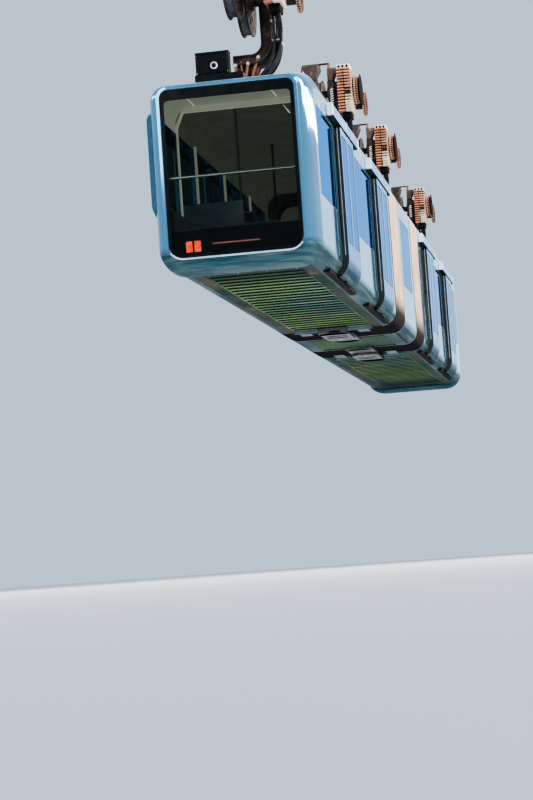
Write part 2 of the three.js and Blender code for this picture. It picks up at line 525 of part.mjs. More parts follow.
function add(name, geometry, look) {
  geometry.computeVertexNormals();
  const { hex, roughness, metalness, ...extra } = LOOK[look];
  const mesh = new THREE.Mesh(geometry, new THREE.MeshStandardMaterial({ color: hex, roughness, metalness, ...extra }));
  mesh.name = name;
  group.add(mesh);
}

const rearward = (m) => place(m, (u, y, z) => [u - HALF_LENGTH, y, z + FLOOR_Z], false);
const forward = (m) => place(m, (u, y, z) => [HALF_LENGTH - u, y, z + FLOOR_Z], true);

buildEndSection();
buildMiddle();
buildBellows();
buildInterior();
buildRoofBox();
buildBogie();

const END_PIECES = [
  // name, piece, look
  ['nose', 'nose', 'body'], ['floor', 'floor', 'floor'], ['roof', 'roof', 'roof'],
  ['wall_left', 'left', 'body'], ['wall_right', 'right', 'body'], ['windscreen', 'windscreen', 'glass'],
  ['glass_left', 'band', 'glass'], ['glass_right_a', 'pane_a', 'glass'], ['glass_right_b', 'pane_b', 'glass'],
  ['seats', 'seats', 'seat'],
];
[['rear', rearward], ['front', forward]].forEach(([end, put]) => {
  END_PIECES.forEach(([name, piece, look]) => add(`${end}_${name}`, put(pieces[piece]), look));
});
add('rear_bench', rearward(pieces.bench), 'seat');
add('rear_hand_rail', rearward(pieces.rail), 'steel');
add('rear_lamp_panel', rearward(pieces.lamp_panel), 'lamp');
add('rear_roof_box', rearward(pieces.roof_box), 'black');
add('front_partition', forward(pieces.partition), 'lining');
add('front_desk', forward(pieces.desk), 'black');
add('front_driver_seat', forward(pieces.driver_seat), 'seat');
add('front_headlamp_panel', forward(pieces.headlamp_panel), 'white');
add('mid_shell', rearward(pieces.mid), 'body');
add('mid_glass_right', rearward(pieces.mid_pane), 'glass');
add('mid_glass_left', rearward(pieces.mid_band), 'glass');
add('bellows_rear', rearward(pieces.bellows), 'bellows');
add('bellows_front', forward(pieces.bellows), 'bellows');

// door leaves: doors 1 and 2 on the rear section, 3 and 4 on the front one
DOOR_STARTS.forEach((s, k) => {
  const a = s + (DOOR.headerLen - DOOR.leafPair) / 2;
  const w = (DOOR.leafPair - DOOR.leafGap) / 2;
  const near = buildLeaf(a, a + w);
  const far = buildLeaf(a + DOOR.leafPair - w, a + DOOR.leafPair);
  add(`door_${k + 1}_aft`, rearward(near), 'door');
  add(`door_${k + 1}_fore`, rearward(far), 'door');
  add(`door_${4 - k}_fore`, forward(near), 'door');
  add(`door_${4 - k}_aft`, forward(far), 'door');
});

BOGIE_X.forEach((x, k) => {
  const at = (m) => place(m, (px, py, pz) => [px + x, py, pz], false);
  add(`bogie_${k + 1}_frame`, at(pieces.frame), 'frame');
  add(`bogie_${k + 1}_drive`, at(pieces.drive), 'drive');
  add(`wheel_${k + 1}_rear`, at(pieces.wheel_rear), 'wheel');
  add(`wheel_${k + 1}_front`, at(pieces.wheel_front), 'wheel');
});

export default group;
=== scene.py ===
# %% [markdown]
# # A suspended monorail car in three hinged sections
# The car hangs from four bogies. The imported model is the frame: every piece made here goes
# where the frame says, in metres, with +X the direction of travel, +Y the left side and
# z = 0 at the height on which the wheels roll.

# %% Load the frame
import math

import bmesh
import bpy
from mathutils import Matrix, Vector


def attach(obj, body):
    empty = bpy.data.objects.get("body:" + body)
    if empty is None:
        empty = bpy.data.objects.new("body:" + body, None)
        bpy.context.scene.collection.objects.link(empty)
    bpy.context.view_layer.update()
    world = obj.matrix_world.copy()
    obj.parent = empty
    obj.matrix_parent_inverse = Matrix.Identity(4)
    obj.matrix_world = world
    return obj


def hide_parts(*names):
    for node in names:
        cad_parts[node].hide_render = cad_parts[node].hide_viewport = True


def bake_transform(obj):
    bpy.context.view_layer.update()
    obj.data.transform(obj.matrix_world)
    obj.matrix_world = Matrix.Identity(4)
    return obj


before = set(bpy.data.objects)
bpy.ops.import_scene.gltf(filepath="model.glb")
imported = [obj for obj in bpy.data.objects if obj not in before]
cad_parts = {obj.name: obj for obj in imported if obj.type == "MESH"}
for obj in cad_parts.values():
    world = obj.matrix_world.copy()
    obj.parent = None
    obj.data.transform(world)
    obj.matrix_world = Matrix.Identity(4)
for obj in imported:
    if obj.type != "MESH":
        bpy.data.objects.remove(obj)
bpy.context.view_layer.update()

# %% [markdown]
# ## Where the viewer stands
# The viewer stands low and far behind the car and looks up at it through a long lens. A
# camera is four facts: a place, a direction, an upright and a lens. The three axes below
# came from fitting the corners of the window frame and the doors, so we write them
# straight into the camera's matrix instead of turning it by hand.

# %% Camera
lens = bpy.data.cameras.new("viewer")
lens.lens, lens.sensor_width, lens.clip_end = 98.74, 36.0, 600.0
viewer = bpy.data.objects.new("viewer", lens)
right, up = Vector((0.16647, -0.98369, -0.06817)), Vector((-0.06473, -0.07988, 0.99470))
turned = Matrix((right, up, right.cross(up))).transposed().to_4x4()
viewer.matrix_world = Matrix.Translation((-40.420, -4.914, -7.643)) @ turned
bpy.context.scene.collection.objects.link(viewer)
bpy.context.scene.camera = viewer

# %% [markdown]
# ## A few workbench helpers
# The tools act on whatever is selected, so each helper first makes the selection
# clear. `editing` opens a mesh with nothing selected, `pick` selects by place, and
# `refine` adds one modifier and applies it at once.


# %% Selecting and editing
def alone(*pieces):
    """Selects these pieces and nothing else; the first is active."""
    if bpy.context.object and bpy.context.object.mode != "OBJECT":
        bpy.ops.object.mode_set(mode="OBJECT")
    bpy.ops.object.select_all(action="DESELECT")
    for piece in pieces:
        piece.select_set(True)
    bpy.context.view_layer.objects.active = pieces[0]


class editing:
    """with editing(piece): opens its mesh with nothing selected, and closes it again."""

    def __init__(self, piece):
        self.piece = piece

    def __enter__(self):
        alone(self.piece)
        bpy.ops.object.mode_set(mode="EDIT")
        bpy.ops.mesh.select_all(action="DESELECT")

    def __exit__(self, *error):
        bpy.ops.object.mode_set(mode="OBJECT")


def middle(part):
    return sum((v.co for v in part.verts), Vector()) / len(part.verts) if hasattr(part, "verts") else part.co


def pick(test, kind="FACE"):
    """Selects the open mesh's faces, edges or vertices whose middle passes the test."""
    bpy.ops.mesh.select_mode(type=kind)
    bpy.ops.mesh.select_all(action="DESELECT")
    mesh = bmesh.from_edit_mesh(bpy.context.edit_object.data)
    for part in {"FACE": mesh.faces, "EDGE": mesh.edges, "VERT": mesh.verts}[kind]:
        if test(middle(part)):
            part.select_set(True)
    mesh.select_flush_mode()
    bmesh.update_edit_mesh(bpy.context.edit_object.data)


def close_up(merge=0.0):
    """Selects the whole open mesh, welds points nearer than merge and turns its faces out."""
    bpy.ops.mesh.select_all(action="SELECT")
    if merge:
        bpy.ops.mesh.remove_doubles(threshold=merge)
    bpy.ops.mesh.normals_make_consistent(inside=False)


def pressed(piece, test, *insets):
    """Insets the faces whose middle passes the test, once for each (thickness, depth)."""
    with editing(piece):
        pick(test)
        for thickness, depth in insets:
            bpy.ops.mesh.inset(thickness=thickness, depth=depth)
    return piece


def refine(piece, kind, **settings):
    """Adds one modifier with these settings and applies it."""
    alone(piece)
    bpy.ops.object.modifier_add(type=kind)
    modifier = piece.modifiers[-1]
    for name, value in settings.items():
        setattr(modifier, name, value)
    bpy.ops.object.modifier_apply(modifier=modifier.name)
    return piece


def soften(piece, width, steps=2, angle=40):
    """Rounds every edge sharper than the angle."""
    return refine(piece, "BEVEL", width=width, segments=steps, limit_method="ANGLE",
                  angle_limit=math.radians(angle))


def repeated(piece, count, step, **more):
    """Repeats a piece count times, step apart."""
    return refine(piece, "ARRAY", count=count, use_relative_offset=False, use_constant_offset=True,
                  constant_offset_displace=step, **more)


# %% Starting shapes
def called(piece, name):
    piece.name = piece.data.name = name
    return piece


def applied(piece):
    """Moves a piece's place, turn and size into its mesh."""
    alone(piece)
    bpy.ops.object.transform_apply(location=True, rotation=True, scale=True)
    return piece


def empty_piece(name):
    """A mesh with nothing in it, ready for edit mode."""
    bpy.ops.object.select_all(action="DESELECT")
    bpy.ops.mesh.primitive_plane_add(size=1)
    piece = called(bpy.context.object, name)
    with editing(piece):
        bpy.ops.mesh.select_all(action="SELECT")
        bpy.ops.mesh.delete(type="VERT")
    return piece


def block(name, low, high, edge=0.0, steps=2):
    """A box between two corners with rounded edges."""
    low, high = Vector(low), Vector(high)
    bpy.ops.object.select_all(action="DESELECT")
    bpy.ops.mesh.primitive_cube_add(size=1, location=(low + high) / 2, scale=high - low)
    piece = applied(called(bpy.context.object, name))
    return soften(piece, edge, steps) if edge else piece


def rod(name, start, end, radius, sides=24, edge=0.0, top=None):
    """A round bar between two points; top gives the far end its own radius."""
    start, end = Vector(start), Vector(end)
    way = end - start
    bpy.ops.object.select_all(action="DESELECT")
    bpy.ops.mesh.primitive_cone_add(vertices=sides, radius1=radius, radius2=radius if top is None else top,
                                    depth=way.length, location=(start + end) / 2,
                                    rotation=way.to_track_quat("Z", "Y").to_euler())
    piece = applied(called(bpy.context.object, name))
    return soften(piece, edge) if edge else piece


def weld(name, *pieces):
    """Joins pieces into one mesh."""
    alone(*pieces)
    bpy.ops.object.join()
    return called(bpy.context.object, name)


def again(piece, name, move=(0, 0, 0), mirror=None):
    """A copy with its own mesh, moved or mirrored about an axis plane."""
    alone(piece)
    bpy.ops.object.duplicate()
    copy = called(bpy.context.object, name)
    copy.location = Vector(move)
    if mirror is not None:
        copy.scale["XYZ".index(mirror)] = -1
    applied(copy)
    if mirror is not None:
        with editing(copy):
            close_up()
    return copy


def cut(piece, *cutters):
    """Cuts the shapes out of the piece and throws them away."""
    for cutter in cutters:
        refine(piece, "BOOLEAN", operation="DIFFERENCE", object=cutter, solver="EXACT")
        bpy.data.objects.remove(cutter)
    return piece


# %% [markdown]
# ## Shapes from rounded frames
# Most of this car is a rounded frame that changes size along one line: the body, the nose,
# the bellows, every window and every seal. So one helper does it as a modeller would: it
# draws the first frame, extrudes its outline again and again, and moves each new outline to
# the size of the next section. Every point keeps its number, so nothing twists. A section
# is written (place, low a, high a, low b, high b, lower corner radius, upper corner radius);
# a pair of radii gives a long corner, and a single step makes it a slanted one.


# %% Rounded frames along a line
def outline(axis, section, steps):
    """The points of one rounded frame, in order."""
    place, a0, a1, b0, b1, *radii = section
    (low_a, low_b), (high_a, high_b) = [r if isinstance(r, tuple) else (r, r) for r in radii]
    corners = ((a1 - low_a, b0 + low_b, low_a, low_b, -90), (a1 - high_a, b1 - high_b, high_a, high_b, 0),
               (a0 + high_a, b1 - high_b, high_a, high_b, 90), (a0 + low_a, b0 + low_b, low_a, low_b, 180))
    points = []
    for a, b, wide, tall, start in corners:
        for step in range(steps + 1):
            turn = math.radians(start + 90 * step / steps)
            here = (a + wide * math.cos(turn), b + tall * math.sin(turn))
            points.append(Vector({"X": (place, *here), "Y": (here[0], place, here[1]),
                                  "Z": (*here, place)}[axis]))
    return points


def bridged(name, axis, sections, close="caps", steps=6):
    """Rounded frames along an axis, joined in turn. close is caps, ring or open."""
    piece = empty_piece(name)
    with editing(piece):
        mesh = bmesh.from_edit_mesh(piece.data)
        number = mesh.verts.layers.int.new("number")
        loop = [mesh.verts.new(point) for point in outline(axis, sections[0], steps)]
        for count, v in enumerate(loop):
            v[number] = count
            mesh.edges.new((v, loop[count - 1]))
        bmesh.update_edit_mesh(piece.data)
        bpy.ops.mesh.select_all(action="SELECT")
        if close == "caps":
            bpy.ops.mesh.edge_face_add()
        for section in sections[1:] + (sections[:1] if close == "ring" else []):
            bpy.ops.mesh.select_mode(type="EDGE")
            bpy.ops.mesh.extrude_edges_move() if close != "caps" else bpy.ops.mesh.extrude_region_move()
            points = outline(axis, section, steps)
            mesh = bmesh.from_edit_mesh(piece.data)
            number = mesh.verts.layers.int["number"]
            for v in mesh.verts:
                if v.select:
                    v.co = points[v[number]]
            bmesh.update_edit_mesh(piece.data)
        close_up(0.00002)
    return piece


def level(rows):
    """Sections that are as wide on both sides: (place, half width, low, high, radii)."""
    return [(place, -half, half, *rest) for place, half, *rest in rows]


# %% [markdown]
# ## Turned and drawn shapes
# Wheels, drums and discs are turned: we draw half of the outline and spin it. Flat iron is
# drawn as an outline and extruded. `ring_of` sets copies of a bolt or a tooth round a centre.


# %% Turning, drawing and setting in a ring
def spun(name, outline, centre, axis, steps=40):
    """Spins an outline of (radius, distance along the axis) round the axis through centre."""
    piece = empty_piece(name)
    with editing(piece):
        mesh = bmesh.from_edit_mesh(piece.data)
        side, along = {"X": (1, 0), "Y": (0, 1), "Z": (0, 2)}[axis]
        points = []
        for radius, distance in outline:
            place = Vector(centre)
            place[side] += radius
            place[along] += distance
            points.append(mesh.verts.new(place))
        for first, second in zip(points, points[1:]):
            mesh.edges.new((first, second))
        bmesh.update_edit_mesh(piece.data)
        bpy.ops.mesh.select_all(action="SELECT")
        line = tuple(float(letter == axis) for letter in "XYZ")
        bpy.ops.mesh.spin(steps=steps, angle=2 * math.pi, center=centre, axis=line)
        close_up(0.0001)
    return piece


def drawn(name, axis, points, low, high, edge=0.004, steps=2):
    """A flat outline extruded from low to high along an axis."""
    piece = empty_piece(name)
    with editing(piece):
        mesh = bmesh.from_edit_mesh(piece.data)
        place = lambda a, b: {"X": (low, a, b), "Y": (a, low, b), "Z": (a, b, low)}[axis]
        mesh.faces.new([mesh.verts.new(place(*point)) for point in points])
        bmesh.update_edit_mesh(piece.data)
        bpy.ops.mesh.select_all(action="SELECT")
        way = [(high - low) * (letter == axis) for letter in "XYZ"]
        bpy.ops.mesh.extrude_region_move(TRANSFORM_OT_translate={"value": way})
        close_up()
    return soften(piece, edge, steps, 30) if edge else piece


def bend(a, b, radius, start, end, steps=10):
    """Points on an arc round (a, b), in degrees."""
    turns = [math.radians(start + (end - start) * k / steps) for k in range(steps + 1)]
    return [(a + radius * math.cos(t), b + radius * math.sin(t)) for t in turns]


def ring_of(piece, centre, axis, count):
    """The piece and copies of it turned round an axis, as a list."""
    made = [piece]
    for k in range(1, count):
        other = again(piece, piece.name)
        with editing(other):
            bpy.ops.mesh.select_all(action="SELECT")
            bpy.ops.transform.rotate(value=k * math.tau / count, orient_axis=axis, center_override=centre)
        made.append(other)
    return made


# %% [markdown]
# ## Writing a finish as a sum
# A finish is a net of nodes, and most of them are plain arithmetic. `Value` wraps one
# socket so that `1 - mask * 0.4` adds its Math nodes by itself. `Finish` starts a material
# and has one method, `add`, for every other node. Patterns read Object coordinates, which
# here are the car's own metres, so a noise of scale 3 has spots about a third of a metre wide.


# %% Values and finishes
class Value:
    """One socket of a material's nodes that can be added, taken away and multiplied."""

    def __init__(self, tree, socket):
        self.tree, self.socket = tree, socket

    def maths(self, operation, first, second=0.0):
        node = self.tree.nodes.new("ShaderNodeMath")
        node.operation = operation
        wire(self.tree, node.inputs[0], first)
        wire(self.tree, node.inputs[1], second)
        return Value(self.tree, node.outputs[0])

    def __add__(self, other):
        return self.maths("ADD", self, other)

    def __sub__(self, other):
        return self.maths("SUBTRACT", self, other)

    def __rsub__(self, other):
        return self.maths("SUBTRACT", other, self)

    def __mul__(self, other):
        return self.maths("MULTIPLY", self, other)

    __radd__, __rmul__ = __add__, __mul__


def wire(tree, socket, value):
    """Gives a socket a link or a plain value."""
    if isinstance(value, Value):
        tree.links.new(value.socket, socket)
    else:
        socket.default_value = value


class Finish:
    def __init__(self, name):
        self.material = bpy.data.materials.new(name)
        self.material.use_nodes = True
        self.tree = self.material.node_tree
        self.tree.nodes.clear()
        self.place = self.add("TexCoord", output="Object")

    def add(self, kind, settings=(), inputs=(), output=0):
        """Any node: its type, its settings, the values of its sockets and the output to use."""
        node = self.tree.nodes.new("ShaderNode" + kind)
        for name, value in dict(settings).items():
            setattr(node, name, value)
        for name, value in dict(inputs).items():
            wire(self.tree, node.inputs[name], value)
        return Value(self.tree, node.outputs[output])

    def axis(self, which):
        """The distance along X, Y or Z in metres."""
        return self.add("SeparateXYZ", inputs={0: self.place}, output=which)

    def noise(self, scale, detail=3.0, stretch=(1, 1, 1), rough=0.5):
        """Soft spots; stretch multiplies the place, so a small number makes long streaks."""
        place = self.add("Mapping", inputs={0: self.place, "Scale": stretch})
        return self.add("TexNoise",
                        inputs={"Vector": place, "Scale": scale, "Detail": detail, "Roughness": rough})

    def between(self, value, low, high):
        """Runs smoothly from 0 at low to 1 at high."""
        return self.add("MapRange", {"interpolation_type": "SMOOTHSTEP"}, {0: value, 1: low, 2: high})

    def mixed(self, factor, first, second):
        """A colour between two colours."""
        first, second = [c if isinstance(c, Value) else (*c, 1) for c in (first, second)]
        return self.add("Mix", {"data_type": "RGBA"}, {0: factor, 6: first, 7: second}, output=2)

    def bump(self, height, depth):
        return self.add("Bump", inputs={"Height": height, "Distance": depth, "Strength": 1.0})

    def shader(self, colour, rough, **more):
        """The main shader; more holds its other sockets with _ for a space."""
        inputs = {"Base Color": colour if isinstance(colour, Value) else (*colour, 1), "Roughness": rough}
        inputs.update({name.replace("_", " "): value for name, value in more.items()})
        return self.add("BsdfPrincipled", inputs=inputs)

    def out(self, shader):
        wire(self.tree, self.tree.nodes.new("ShaderNodeOutputMaterial").inputs[0], shader)
        return self.material


# %% [markdown]
# ## The blue paint
# The bodies wear a light blue metallic paint under a thick clear coat. A mirror is boring to
# look at in a studio unless the paint has what real paint has: slow waves in the sheet
# metal, a little orange peel, streaks of road film, and dust lying on the roof. The film
# grows heavier towards the bottom as painted shade, and the lowest 20 cm carry dull grime
# mixed with painted shade, so that the belly fades into the underside.

# %% Body paint
DUST_COLOUR, FILM_AND_SHADE_COLOUR = (0.42, 0.43, 0.40), (0.07, 0.16, 0.20)
GRIME_AND_SHADE_COLOURS = (0.010, 0.026, 0.026), (0.075, 0.110, 0.095)


def blue_paint(name, colour, deep, edge=(0.66, 0.85, 0.98)):
    f = Finish(name)
    height = f.axis("Z")
    cloud = f.noise(0.7, 4.0, (0.5, 1, 1))
    streak = f.noise(5.0, 4.0, (1, 1, 0.06))
    speck = f.noise(90.0, 2.0)
    # the film grows towards the bottom, and low marks the lowest 20 cm; both darken the belly as painted
    # shade mixed with dirt
    film_and_shade = f.between(streak * 0.6 + cloud * 0.4, 0.42, 0.75) * (0.30 + f.between(height, -2.2, -3.5) * 0.7)
    low = f.between(height + cloud * 0.06, -3.23, -3.40)
    band = f.between(f.noise(2.2, 5.0, (0.22, 0.4, 9), 0.65), 0.44, 0.66)
    dust = f.between(height + cloud * 0.04, -1.06, -0.93)
    paint = f.mixed(f.between(cloud, 0.3, 0.7), deep, colour)
    paint = f.mixed(film_and_shade * 0.30, paint, FILM_AND_SHADE_COLOUR)
    paint = f.mixed(dust * (0.45 + speck * 0.3), paint, DUST_COLOUR)
    wave = f.noise(1.1, 1.0) * 0.006 + speck * 0.00003
    normal = f.bump(wave, 0.35)
    clean = f.shader(paint, 0.06 + film_and_shade * 0.14 + dust * 0.5, Metallic=0.85 - dust * 0.7,
                     Specular_Tint=(*edge, 1), Coat_Weight=0.30 - dust * 0.2, Coat_Roughness=0.03,
                     Normal=normal)
    # this shader holds dark grime and painted shade for the lowest part of the body
    grime_and_shade = f.shader(f.mixed(band, *GRIME_AND_SHADE_COLOURS), 0.6 + speck * 0.1, Specular_IOR_Level=0.04, Normal=normal)
    return f.out(f.add("MixShader", inputs={0: low * 0.85, 1: clean, 2: grime_and_shade}))


PAINT = blue_paint("sky_blue_paint", (0.13, 0.34, 0.50), (0.105, 0.29, 0.44))
DOOR_PAINT = blue_paint("door_blue_paint", (0.055, 0.25, 0.52), (0.04, 0.20, 0.46), (0.16, 0.42, 0.74))
HEADER_PAINT = blue_paint("header_blue_paint", (0.13, 0.38, 0.66), (0.11, 0.34, 0.60), (0.30, 0.55, 0.82))
print("paints", PAINT.name, DOOR_PAINT.name, HEADER_PAINT.name)

# %% [markdown]
# ## Plain and speckled finishes
# Most small parts are one material with a little life in it: two near colours in slow
# clouds, fine grain in the roughness and a shallow bump. One function makes them all, and
# each call says the colours, how rough the part is and the size of the clouds.


# %% Plain finishes
def plain(name, colour, second, rough, scale=6.0, grain=120.0, depth=0.0003, stretch=(1, 1, 1), wear=None,
          tint=None, mirror=None, glow=None, **more):
    """tint is Specular_Tint, mirror is Specular_IOR_Level and glow is (colour, strength)."""
    f = Finish(name)
    if mirror is not None:
        more["Specular_IOR_Level"] = mirror
    if tint:
        more["Specular_Tint"] = (*tint, 1)
    if glow:
        more["Emission_Color"], more["Emission_Strength"] = (*glow[0], 1), glow[1]
    cloud, fine = f.noise(scale, 5.0, stretch, 0.6), f.noise(grain, 2.0)
    shade = f.mixed(f.between(cloud, 0.35, 0.68), colour, second)
    if wear:
        worn = f.between(f.noise(scale * 3.1, 6.0, stretch, 0.7), 0.58, 0.7)
        shade = f.mixed(worn * 0.8, shade, wear)
    return f.out(f.shader(shade, rough + (cloud + fine - 1.0) * 0.18, Normal=f.bump(fine + cloud, depth),
                          **more))


# the lining glows faintly, and the lounge ceiling and the portal's edges are painted lighter and glow, all as
# painted light
LINING = plain("cabin_lining", (0.20, 0.21, 0.155), (0.15, 0.16, 0.115), 0.5, 2.0,
               glow=((0.20, 0.21, 0.155), 0.18))
LIT_CEILING = plain("lit_lounge_panel", (0.53, 0.53, 0.45), (0.46, 0.46, 0.39), 0.55, 1.5,
                glow=((0.38, 0.375, 0.31), 0.42))
LIT_PORTAL_EDGE = plain("lit_portal_edge", (0.66, 0.68, 0.60), (0.58, 0.60, 0.53), 0.4, 3.0,
               glow=((0.62, 0.65, 0.55), 0.75))
# the poles are painted near black as the shade of the dark interior
SHADED_POLE = plain("shaded_dark_pole", (0.035, 0.038, 0.036), (0.050, 0.052, 0.048), 0.35, 14.0)
CARPET = plain("floor_covering", (0.045, 0.050, 0.055), (0.075, 0.080, 0.085), 0.85, 40.0, 300.0, 0.0006)
RUBBER = plain("black_rubber", (0.008, 0.008, 0.009), (0.025, 0.018, 0.015), 0.6, 8.0, stretch=(1, 1, 0.2),
               mirror=0.25)
BROWN_RUBBER = plain("dusty_seal", (0.018, 0.015, 0.016), (0.006, 0.006, 0.008), 0.5, 12.0,
                     stretch=(1, 1, 0.15), mirror=0.25)
PALE_TRIM = plain("pale_trim", (0.45, 0.43, 0.41), (0.30, 0.27, 0.25), 0.35, 9.0, Metallic=0.6)
BLACK = plain("black_print", (0.0025, 0.003, 0.0035), (0.005, 0.006, 0.007), 0.16, 4.0, 40.0, 0.0,
              mirror=0.12)
BLACK_SATIN = plain("black_housing", (0.0025, 0.003, 0.004), (0.006, 0.0065, 0.008), 0.5, 9.0, mirror=0.10)
STEEL_TUBE = plain("polished_tube", (0.60, 0.60, 0.59), (0.48, 0.48, 0.47), 0.24, 20.0, Metallic=1.0)
WHITE_CAP = plain("white_end_cap", (0.86, 0.87, 0.87), (0.72, 0.74, 0.74), 0.35, 12.0)
STRIP = plain("polished_strip", (0.040, 0.080, 0.066), (0.16, 0.135, 0.11), 0.45, 0.5, 160.0,
              wear=(0.27, 0.25, 0.20), Metallic=0.8, mirror=0.1, tint=(0.17, 0.19, 0.155))
# near black that stands for shade in gaps, holes, vents and under things: painted shade
SHADE_BLACK = plain("painted_shade_black", (0.006, 0.007, 0.008), (0.012, 0.013, 0.014), 0.7, 10.0, mirror=0.15)
print("plain finishes ready")

# %% [markdown]
# ## The ribbed underside
# The floor is closed below by pressed metal sheets. They are bright but weathered, and
# they show long dark and light bars: the outer bars are painted pale as highlights and the
# valleys dark as painted shade. The greens that change slowly across the car are painted
# reflection of green surroundings, and painted shade darkens the sheet towards the ends of
# the sections and across the middle section.


# %% Underside metal
def ribbed_metal():
    f = Finish("pressed_underside")
    cloud = f.noise(0.55, 3.0, (0.35, 1, 1))
    smear_and_reflection = f.noise(4.0, 4.0, (1, 0.18, 1))
    crown = f.between(f.axis("Z"), -3.5425, -3.549)
    along = f.axis("X")
    out = along.maths("ABSOLUTE", along)
    shaded = f.between(out, 8.8, 10.9) * 0.97 + f.between(out, 1.7, 1.0) * 0.6
    # the greens of the dark and pale colours and the pale smears are painted reflection; the outer bars are
    # painted pale as highlights, the valleys stay dark as painted shade, and shaded is painted shade
    dark = f.mixed(f.between(cloud, 0.40, 0.62), (0.006, 0.030, 0.026), (0.030, 0.065, 0.018))
    pale = f.mixed(f.between(cloud, 0.36, 0.58), (0.15, 0.29, 0.23), (0.28, 0.41, 0.16))
    pale = f.mixed(f.between(smear_and_reflection, 0.50, 0.66) * 0.7, pale, (0.40, 0.46, 0.30))
    shade = f.mixed(crown * (0.30 + smear_and_reflection) * (1 - shaded), dark, pale)
    return f.out(f.shader(shade, 0.24 + smear_and_reflection * 0.2, Metallic=0.85 - crown * 0.15, Specular_IOR_Level=0.1,
                          Specular_Tint=(0.055, 0.095, 0.075, 1),
                          Normal=f.bump(smear_and_reflection + f.noise(60.0) * 0.1, 0.0006)))


UNDERSIDE = ribbed_metal()

# %% [markdown]
# ## Glass
# The end window is tinted safety glass: dark and mirror-like at a slant, clear when looked
# at straight on. A mix of a dark shiny shader and a see-through one does it, and the slant
# of the view sets the factor. The side panes and the long raised band are the same mix with
# more tint, and their blue metallic colour and blue tint are painted reflection of a blue sky.


# %% Glass finishes
def tinted(name, colour, through, least, rough=0.02, **more):
    """through is the colour of light that passes, least the share that never does."""
    f = Finish(name)
    streak = f.noise(6.0, 4.0, (0.3, 1, 1))
    shade = f.mixed(f.between(streak, 0.4, 0.7), colour, [c * 1.25 for c in colour])
    shine = f.shader(shade, rough + streak * 0.03, **more)
    clear = f.add("BsdfTransparent", inputs={"Color": (*through, 1)})
    factor = f.add("Fresnel", inputs={"IOR": 1.5}) * (1 - least) + least
    return f.out(f.add("MixShader", inputs={0: factor, 1: clear, 2: shine}))


FACE_GLASS = tinted("face_glass", (0.006, 0.010, 0.010), (0.88, 0.93, 0.90), 0.06)
# the blue metallic colour and blue tint of these panes are painted reflection of a blue sky
SIDE_GLASS = tinted("side_glass", (0.035, 0.12, 0.22), (0.30, 0.42, 0.50), 0.78, 0.005, Metallic=0.95,
                    Specular_Tint=(0.045, 0.44, 1.0, 1))
BAND_GLASS = tinted("band_glass", (0.085, 0.185, 0.26), (0.25, 0.33, 0.38), 0.86, Metallic=0.85,
                    Specular_Tint=(0.36, 0.54, 0.66, 1))
print("glass", FACE_GLASS.name, SIDE_GLASS.name, BAND_GLASS.name)

# %% [markdown]
# ## Finishing a piece
# Every piece ends the same way: edges flatter than the angle are smoothed, big faces get
# their own straight normals so the paint's reflections don't bend, the piece is tied to its
# body and the frame parts it stands for are hidden. `coat` paints the faces that pass a test.

# %% Painting and fixing pieces
SHIFT = Vector((-12.03, 0.0, -3.55))  # from an end section's own measures to the car's


def coat(piece, material, test=None):
    """Gives the whole piece, or the faces whose middle and normal pass the test, a finish."""
    if material.name not in piece.data.materials:
        piece.data.materials.append(material)
    number = piece.data.materials.find(material.name)
    for face in piece.data.polygons:
        if test is None or test(face.center, face.normal):
            face.material_index = number
    return piece


def coats(material, *pieces):
    """The pieces as a list, all in one finish."""
    return [coat(piece, material) for piece in pieces]


def finish(piece, body, slot, *nodes, angle=35):
    alone(piece)
    bpy.ops.object.shade_smooth_by_angle(angle=math.radians(angle))
    refine(piece, "WEIGHTED_NORMAL", keep_sharp=True, weight=60)
    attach(piece, body)
    if nodes:
        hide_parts(*nodes)
    return piece


def settle(piece, end="rear"):
    """Moves a piece made in an end section's measures to that end of the car."""
    name = piece.name
    piece.location = SHIFT
    applied(piece)
    if end == "rear":
        return piece
    copy = again(piece, name, mirror="X")
    bpy.data.objects.remove(piece)
    return called(copy, name)


def placed(piece, name, end, *words, **more):
    """Settles a piece at one end, names it and finishes it on that end's body, or on "mid"."""
    piece = called(settle(piece, "front" if end == "front" else "rear"), name)
    return finish(piece, end + "_car", *words, **more)


def both_ends(piece, slot, *nodes, angle=35):
    """Fits a piece to the rear section and its mirror image to the front one."""
    name = piece.name
    rear = settle(piece)
    front = again(rear, "front_" + name, mirror="X")
    called(rear, "rear_" + name)
    for end, part in (("rear", rear), ("front", front)):
        finish(part, end + "_car", slot, *[f"{end}_{node}" for node in nodes], angle=angle)
    return rear, front


# %% [markdown]
# ## The face moulding
# Each end is one rounded frame round a huge window, and its chin swells below the floor. On
# the real car it is a moulded shell. Here it is a chain of rounded frames: outside from
# the body to the face, inwards round the window's seat, and back again as the lining. The
# chain is closed, so the wall has its true thickness everywhere. In an end section's own
# measures the face is at x = 0 and the floor's underside at z = 0.

